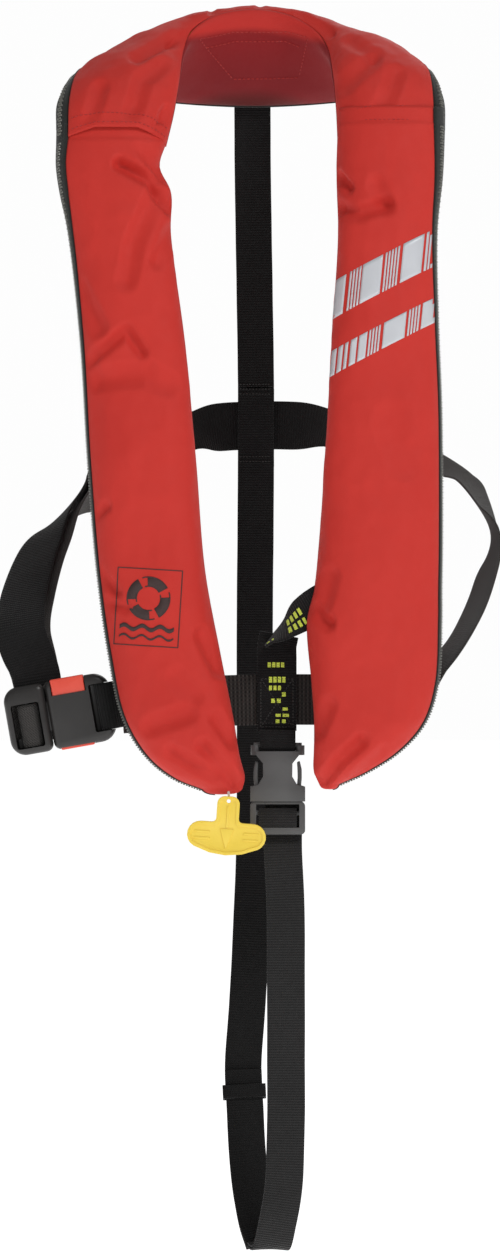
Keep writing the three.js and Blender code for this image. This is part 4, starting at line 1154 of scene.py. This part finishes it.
def woven_marks(name, rows, marks, lift):
    """Small raised blocks of bright thread on a band: along it, across it, length and width."""
    route = smooth_curve([row[:3] for row in rows])
    lean = smooth_curve([row[3:] for row in rows])
    shares = np.linspace(0, 1, 200)
    run = run_of(np.array([route(share) for share in shares]))
    verts, faces = [], []
    columns = 2
    for start, side, length, width in marks:
        lines = max(2, int(length / 1.2))
        base = len(verts)
        for i in range(lines + 1):
            t = float(np.interp(start + length * i / lines, run, shares))
            along = unit(route(min(t + 1e-3, 1)) - route(max(t - 1e-3, 0)))
            across = lean(t)
            across = unit(across - along * np.dot(across, along))
            out = np.cross(along, across)
            out = out if out[1] < 0 else -out
            for k in range(columns + 1):
                spot = route(t) + across * (side + width * (k / columns - 0.5)) + out * (WEB / 2 + lift)
                verts.append(tuple(spot * MM))
        for i in range(lines):
            for k in range(columns):
                a = base + i * (columns + 1) + k
                faces.append((a, a + 1, a + columns + 2, a + columns + 1))
    mesh = bpy.data.meshes.new(name)
    mesh.from_pydata(verts, [], faces)
    piece = link_mesh(name, mesh)
    apply(piece, "SOLIDIFY", thickness=0.35 * MM, offset=0)
    unwrapped(piece, lean=0)
    fitted(piece, lime_thread, "root", "webbing")


LOWER_MARKS = [
    (6, 0.5, 3, 3), (6, 5.5, 3, 3), (11, 1, 2.4, 4), (11, 7, 2.4, 5), (16, 6.5, 2.4, 4), (22, -3, 3.4, 3),
    (22, 1.5, 3.4, 3), (27, 5.5, 3.4, 3), (32, -5, 3.6, 2.4), (32, -1.5, 3.6, 2.4), (32, 2, 3.6, 2.4),
    (38, -5, 4.6, 2.6), (38, -1.5, 4.6, 2.6), (38, 2, 4.6, 2.6), (38, 5.5, 4.6, 2.6), (50, -6, 4, 2.6),
    (50, -2.5, 4, 2.6), (50, 1, 4, 2.6), (50, 4.5, 4, 2.6),
]
woven_marks("lift_marks_lower", LOWER, LOWER_MARKS, 0.25)
UPPER_MARKS = [(2 + 5 * i, -8, 2.6, 3.2) for i in range(2)]
UPPER_MARKS += [(24 + 4.5 * i, side, 2.6, 6) for i in range(4) for side in (-6, 3)]
woven_marks("lift_marks_upper", UPPER, UPPER_MARKS, 0.3)

black_thread = woven("black_thread", paint(22, 22, 22), paint(62, 60, 58), 0.0009, 0.0006, 0.5)
FACE_OUT = np.array((0, -1.0, 0))


def flat_line(corners, y, step=2.0):
    """A stitch line on a flat face of webbing, through corners given as x and height."""
    out = []
    for (x0, z0), (x1, z1) in zip(corners, corners[1:]):
        count = max(2, int(math.hypot(x1 - x0, z1 - z0) / step))
        out += [
            (np.array((x0 + (x1 - x0) * i / count, y, z0 + (z1 - z0) * i / count)), FACE_OUT)
            for i in range(count + 1)
        ]
    return out


LIFT_FRONT = -67.5
LEFT, RIGHT, TOP, FOOT = 8.5, 33.9, -500, -538
BOX_AND_CROSS = [
    [(LEFT, TOP), (RIGHT, TOP), (RIGHT, FOOT), (LEFT, FOOT), (LEFT, TOP)],
    [(LEFT, TOP), (RIGHT, FOOT)],
    [(RIGHT, TOP), (LEFT, FOOT)],
    [(LEFT, FOOT + 3), (RIGHT, FOOT + 3)],
]
stitched("lift_box_stitches", [flat_line(seam, LIFT_FRONT) for seam in BOX_AND_CROSS],
         black_thread, "webbing", pitch=2.6, length=1.9, thick=0.4)
stitched(
    "strap_lap_stitches",
    [flat_line([(-9, z), (19, z)], 88.4) for z in (-258, -262, -266, -318, -322)]
    + [flat_line([(-19.5, z), (8.5, z)], 37.4 + k) for z, k in ((-824, 0), (-827, -1))],
    black_thread, "webbing", pitch=2.6, length=1.9, thick=0.4,
)


def moulded(node, width, material, body, slot, segments=3):
    """A piece with the plain solid's shape and its edges rounded over."""
    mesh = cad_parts[node].data.copy()
    mesh.name = node + "_finished"
    mesh.materials.clear()
    piece = link_mesh(node + "_finished", mesh)
    bm = bmesh.new()
    bm.from_mesh(mesh)
    bmesh.ops.remove_doubles(bm, verts=bm.verts[:], dist=2e-6)
    bmesh.ops.dissolve_limit(bm, angle_limit=math.radians(1.5), verts=bm.verts[:], edges=bm.edges[:])
    bm.to_mesh(mesh)
    bm.free()
    apply(piece, "BEVEL", width=width * MM, segments=segments, limit_method="ANGLE",
          angle_limit=math.radians(28), use_clamp_overlap=True)
    apply(piece, "TRIANGULATE")
    bpy.ops.object.shade_smooth_by_angle(angle=math.radians(35))
    fitted(piece, material, body, slot, node)
    return piece


# A flat woven ring keeps the crotch strap's tail down, and two loops of webbing hold the
# crotch buckle's halves: one under the lift strap, one round the ladder lock's bar.
for node, material, body in (
    ("crotch_keeper", black_web, "keeper"),
    ("crotch_tab", black_web, "root"),
    ("crotch_wrap", strap_web, "latch"),
):
    unwrapped(moulded(node, 0.5, material, body, "webbing", 2))

# ---------------------------------------------------------------- buckles
# The waist closes with a two-button safety buckle and the crotch strap with a side-release
# buckle. Both are moulded acetal, rounded over on every outer edge.
def plastic(name, dark, light, roughness, grain=1400, depth=0.1):
    """Moulded plastic: slightly clouded colour, a fine spark-eroded grain."""
    material, surface = new_shader(name, dark, roughness)
    tree = material.node_tree
    tone, places = clouded(material, 45)
    tinted(material, dark, light, tone.outputs["Tone"])
    rough = sums(tree, "MULTIPLY_ADD", tone.outputs["Fine"], 0.2, roughness - 0.1)
    tree.links.new(rough, surface.inputs["Roughness"])
    speckle = tree.nodes.new("ShaderNodeTexNoise")
    speckle.inputs["Scale"].default_value = grain
    speckle.inputs["Detail"].default_value = 1
    tree.links.new(places.outputs["Object"], speckle.inputs["Vector"])
    embossed(material, speckle.outputs["Fac"], depth, 0.0003)
    return material


dark_acetal = plastic("dark_acetal", paint(30, 28, 27), paint(46, 44, 43), 0.36)
grey_acetal = plastic("grey_acetal", paint(70, 70, 70), paint(92, 92, 92), 0.45)
red_acetal = plastic("red_acetal", paint(216, 70, 54), paint(240, 92, 72), 0.35)
BUCKLE_TURN = math.radians(-10)
buckle_place = Matrix.Translation(Vector((-148.8, -83, -527.6)) * MM) @ Matrix.Rotation(BUCKLE_TURN, 4, "Y")


def block(name, low, high):
    """A plain block between two corners (mm)."""
    centre = [(a + b) / 2 * MM for a, b in zip(low, high)]
    bpy.ops.object.select_all(action="DESELECT")
    bpy.ops.mesh.primitive_cube_add(size=1, location=centre, scale=[(b - a) * MM for a, b in zip(low, high)])
    piece = bpy.context.object
    piece.name = name
    bpy.ops.object.transform_apply(location=True, rotation=True, scale=True)
    return piece


def rounded_block(name, low, high, corner, edge, round_side):
    """A block (mm) whose outline corners are rounded in front view on one side, then its rims."""
    piece = block(name, low, high)
    middle = (low[0] + high[0]) / 2 * MM
    bm = bmesh.new()
    bm.from_mesh(piece.data)
    upright = [
        e for e in bm.edges
        if abs(e.verts[0].co.y - e.verts[1].co.y) > 1e-4 and round_side * (e.verts[0].co.x - middle) > 0
    ]
    bmesh.ops.bevel(bm, geom=upright, offset=corner * MM, segments=8, profile=0.5, affect="EDGES")
    bm.to_mesh(piece.data)
    bm.free()
    apply(piece, "BEVEL", width=edge * MM, segments=5, limit_method="ANGLE", angle_limit=math.radians(40))
    return piece


def combined(piece, other, operation):
    """Cuts another shape out of a piece, or adds it."""
    apply(piece, "BOOLEAN", operation=operation, object=other, solver="EXACT")
    bpy.data.objects.remove(other)


def hollowed(piece, openings):
    """Cuts blocks out of a piece, each with its own edges eased."""
    for low, high, edge in openings:
        cutter = block("cutter", low, high)
        if edge:
            apply(cutter, "BEVEL", width=edge * MM, segments=3)
        combined(piece, cutter, "DIFFERENCE")


def bar_across(piece, x, radius, half):
    """A round bar that stands upright in a buckle's opening."""
    bpy.ops.object.select_all(action="DESELECT")
    bpy.ops.mesh.primitive_cylinder_add(
        vertices=20, radius=radius * MM, depth=2 * half * MM, location=(x * MM, 0, 0)
    )
    bar = bpy.context.object
    bpy.ops.object.transform_apply(location=True, rotation=True, scale=True)
    combined(piece, bar, "UNION")


def set_down(piece, material, body, slot, node):
    """Puts a finished part of the buckle in its place in the jacket."""
    piece.data.transform(buckle_place)
    bm = bmesh.new()
    bm.from_mesh(piece.data)
    bmesh.ops.remove_doubles(bm, verts=bm.verts[:], dist=1e-6)
    bm.to_mesh(piece.data)
    bm.free()
    choose(piece)
    bpy.ops.object.shade_smooth_by_angle(angle=math.radians(32))
    piece.data.materials.clear()
    fitted(piece, material, body, slot, node)


# The housing: the tongue's throat, the belt's slot with its rear wall, the two buttons'
# pockets, and room for the lower button's spring.
housing = rounded_block("buckle_housing", (-8.6, -8, -27), (42, 8, 27), 13, 5.5, 1)
hollowed(housing, [
    ((-10, -4.2, -12), (22, 4.2, 12), 0),
    ((25.5, -10, -18.8), (50, 5, 18.8), 1.6),
    ((33, 3, -18.8), (50, 10, 18.8), 0),
    ((-4, -10, 15.1), (23.4, -7, 31), 0.6),
    ((-4, -7.3, 11.4), (23.4, 5.8, 31), 0),
    ((-4, -5.4, -31), (23.4, 5.8, -14.6), 0),
    ((5, -4.2, -18.4), (15, 4.2, -14.6), 0),
])
bar_across(housing, 35.4, 2.6, 22)
set_down(housing, dark_acetal, "root", "dark_plastic", "buckle_body")

# The tongue: an adjuster frame with its bar, and a blade with a catch cut on each side.
tongue = rounded_block("buckle_tongue_half", (-42, -8, -27), (-9.2, 8, 27), 12, 5.5, -1)
hollowed(tongue, [((-37.2, -10, -22), (-15, 5.6, 13), 1.8), ((-37.2, 4, -14), (-15, 10, 13), 0)])
bar_across(tongue, -24.5, 2.6, 23)
blade = block("blade", (-12, -3.6, -11.3), (20, 3.6, 11.3))
apply(blade, "BEVEL", width=0.4 * MM, segments=3)
combined(tongue, blade, "UNION")
hollowed(tongue, [((8, -5, -13), (13, 5, -8), 0), ((8, -5, 8), (13, 5, 13), 0)])
set_down(tongue, dark_acetal, "buckle_half", "dark_plastic", "buckle_tongue")

# The upper button wraps from the top edge onto the face; of the lower one only the lip shows.
upper_button = rounded_block("button_top_cap", (-3.5, -7.1, 14.3), (22.9, 5.3, 27.9), 1.2, 1.3, 1)
set_down(upper_button, red_acetal, "top_button", "red_plastic", "button_top")
lower_button = rounded_block("button_bottom_cap", (-3.5, -4.9, -27.9), (22.9, 5.3, -18.4), 1.2, 1.1, 1)
set_down(lower_button, red_acetal, "bottom_button", "red_plastic", "button_bottom")

# The belt's two ends: one is drawn through the adjuster and round its bar, the other is wrapped
# round the far bar, and its two layers go in under the lobe.
UPRIGHT = tuple(buckle_place.to_3x3() @ Vector((0, 0, 1)))


def in_buckle(points):
    """Points of the buckle, x and depth from its middle, as band rows that stand upright in it."""
    return [(*(buckle_place @ (Vector((x, y, z)) * MM) / MM), *UPRIGHT) for x, y, z in points]


bar_angles = np.linspace(0.5 * math.pi, 2.4 * math.pi, 16)
round_bar = [(-24.5 + 7.2 * math.cos(a), 4.3 * math.sin(a), -4.6) for a in bar_angles]
band("adjuster_web", in_buckle(round_bar), 33.5, grey_web, "buckle_half", steps=60, wave=0.4, seed=14,
     replaces=["adjuster_wrap"])
behind = [
    (-169, -66, -502, 1, -0.1, 0), (-170, -69, -508, 1, -0.1, 0), (-171.5, -72, -516, 1, -0.05, 0),
    (-172, -73, -532, 1, 0, 0.08), (-170.5, -73.3, -549, 1, 0, 0.12),
]
band("belt_left_end_web", behind, 33, grey_web, "buckle_half", steps=60, seed=15)
end_path = [(56, 15, 0), (50, 11.5, 0), (44, 6.6, 0), (38, 5, 0), (33, 4.2, 0), (30.6, 0, 0), (32.6, -4.4, 0),
            (37, -5.4, 0), (42, -3.4, 0), (47, 3, 0), (52, 9.5, 0), (58, 14, 0)]
band("belt_end_web", in_buckle(end_path), 37, black_web, "root", steps=90, seed=16, wave=0.3,
     replaces=["belt_end_wrap"])
for node, edge, body in (
    ("crotch_buckle_body", 1.2, "root"),
    ("crotch_buckle_latch", 1.2, "latch"),
    ("latch_prong_left", 0.8, "prong_left"),
    ("latch_prong_right", 0.8, "prong_right"),
):
    moulded(node, edge, grey_acetal, body, "grey_plastic")

# ---------------------------------------------------------------- pull handle
# A yellow moulded T that hangs on the lanyard: raised rim, sunk face, a rib up the stem and
# a wedge in the middle that points down, the way it is pulled.
yellow_acetal = plastic("yellow_acetal", paint(240, 206, 62), paint(250, 220, 92), 0.4)
moulded("pull_handle", 0.9, yellow_acetal, "handle", "yellow_plastic")
HANDLE_TURN = math.radians(3.8)
handle_place = Matrix.Translation(Vector((-17.7, -101, -611.5)) * MM) @ Matrix.Rotation(HANDLE_TURN, 4, "Y")
SUNK_FACE = -1.5
RIB_FRONT = -2.4
GRIP_FRONT = -2.1


def raised_mark(name, outline, front, bevel):
    """A shape raised on the handle's face, drawn in x and height (mm) from its middle."""
    mesh = bpy.data.meshes.new(name)
    bm = bmesh.new()
    face = bm.faces.new([bm.verts.new((x * MM, SUNK_FACE * MM, z * MM)) for x, z in outline])
    raised = bmesh.ops.extrude_face_region(bm, geom=[face])
    moved = [v for v in raised["geom"] if isinstance(v, bmesh.types.BMVert)]
    bmesh.ops.translate(bm, verts=moved, vec=(0, (front - SUNK_FACE) * MM, 0))
    bmesh.ops.transform(bm, matrix=handle_place, verts=bm.verts[:])
    bmesh.ops.recalc_face_normals(bm, faces=bm.faces[:])
    bm.to_mesh(mesh)
    bm.free()
    piece = link_mesh(name, mesh)
    apply(piece, "BEVEL", width=bevel * MM, segments=3, limit_method="ANGLE", angle_limit=math.radians(30))
    bpy.ops.object.shade_smooth_by_angle(angle=math.radians(35))
    fitted(piece, yellow_acetal, "handle", "yellow_plastic")


raised_mark("handle_rib", [(-0.9, 13), (0.9, 13), (0.9, -4), (-0.9, -4)], RIB_FRONT, 0.35)
raised_mark("handle_wedge", [(-5.5, -5), (5.5, -5), (0.6, -20), (-0.6, -20)], RIB_FRONT, 0.4)
for k, (x, z) in enumerate(((-19, -8), (-19, -13), (19, -8), (19, -13))):
    bar = [(x - 6, z - 0.8), (x + 6, z - 0.8), (x + 6, z + 0.8), (x - 6, z + 0.8)]
    raised_mark(f"handle_grip_bar_{k + 1}", bar, GRIP_FRONT, 0.3)

# ---------------------------------------------------------------- inside the cover
# The folded chamber, the automatic inflator with its gas cylinder, and the mouth tube with its
# valve, cap and whistle lie inside the lobes.
chamber_cloth = woven("chamber_cloth", paint(214, 150, 36), paint(236, 176, 60), 0.0009, 0.0009,
                      roughness=0.5)
bright_steel, surface = new_shader("bright_steel", paint(176, 180, 184), 0.3)
surface.inputs["Metallic"].default_value = 1.0
black_rubber = plastic("black_rubber", paint(28, 28, 28), paint(44, 43, 43), 0.75)
green_paint = plastic("green_paint", paint(52, 108, 68), paint(70, 130, 84), 0.38, 600, 0.05)
plain = {
    "inflator_body": dark_acetal, "firing_lever": yellow_acetal, "dissolving_cartridge": yellow_acetal,
    "gas_cylinder": green_paint, "manifold_stem": black_rubber, "cylinder_gasket": black_rubber,
    "oral_tube": black_rubber, "oral_cap": black_rubber, "oral_valve": red_acetal, "whistle": yellow_acetal,
}
for node in ("button_top_spring", "button_bottom_spring", "pin_spring", "valve_spring", "lever_pin",
             "piercing_pin", "manifold_nut", "zip_slider"):
    plain[node] = bright_steel
for node, material in plain.items():
    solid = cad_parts[node]
    solid.data.materials.clear()
    solid.data.materials.append(material)
PLEATS = 520  # radians per metre across the chamber
PLEAT_DEPTH = 0.0006
for node in ("bladder_left", "bladder_right", "bladder_collar"):
    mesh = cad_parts[node].data.copy()
    mesh.materials.clear()
    piece = link_mesh(node + "_folded", mesh)
    bm = bmesh.new()
    bm.from_mesh(mesh)
    bmesh.ops.remove_doubles(bm, verts=bm.verts[:], dist=2e-6)
    bm.to_mesh(mesh)
    bm.free()
    apply(piece, "REMESH", mode="VOXEL", voxel_size=0.004)
    for vertex in mesh.vertices:
        pleat = math.sin(vertex.co.x * PLEATS + 2 * noise.noise(vertex.co * 30)) - 1
        vertex.co += vertex.normal * PLEAT_DEPTH * pleat
    apply(piece, "SUBSURF", levels=1, render_levels=1)
    smoothed(piece.data)
    piece.data.materials.clear()
    unwrapped(piece)
    fitted(piece, chamber_cloth, "root", "bladder", node)
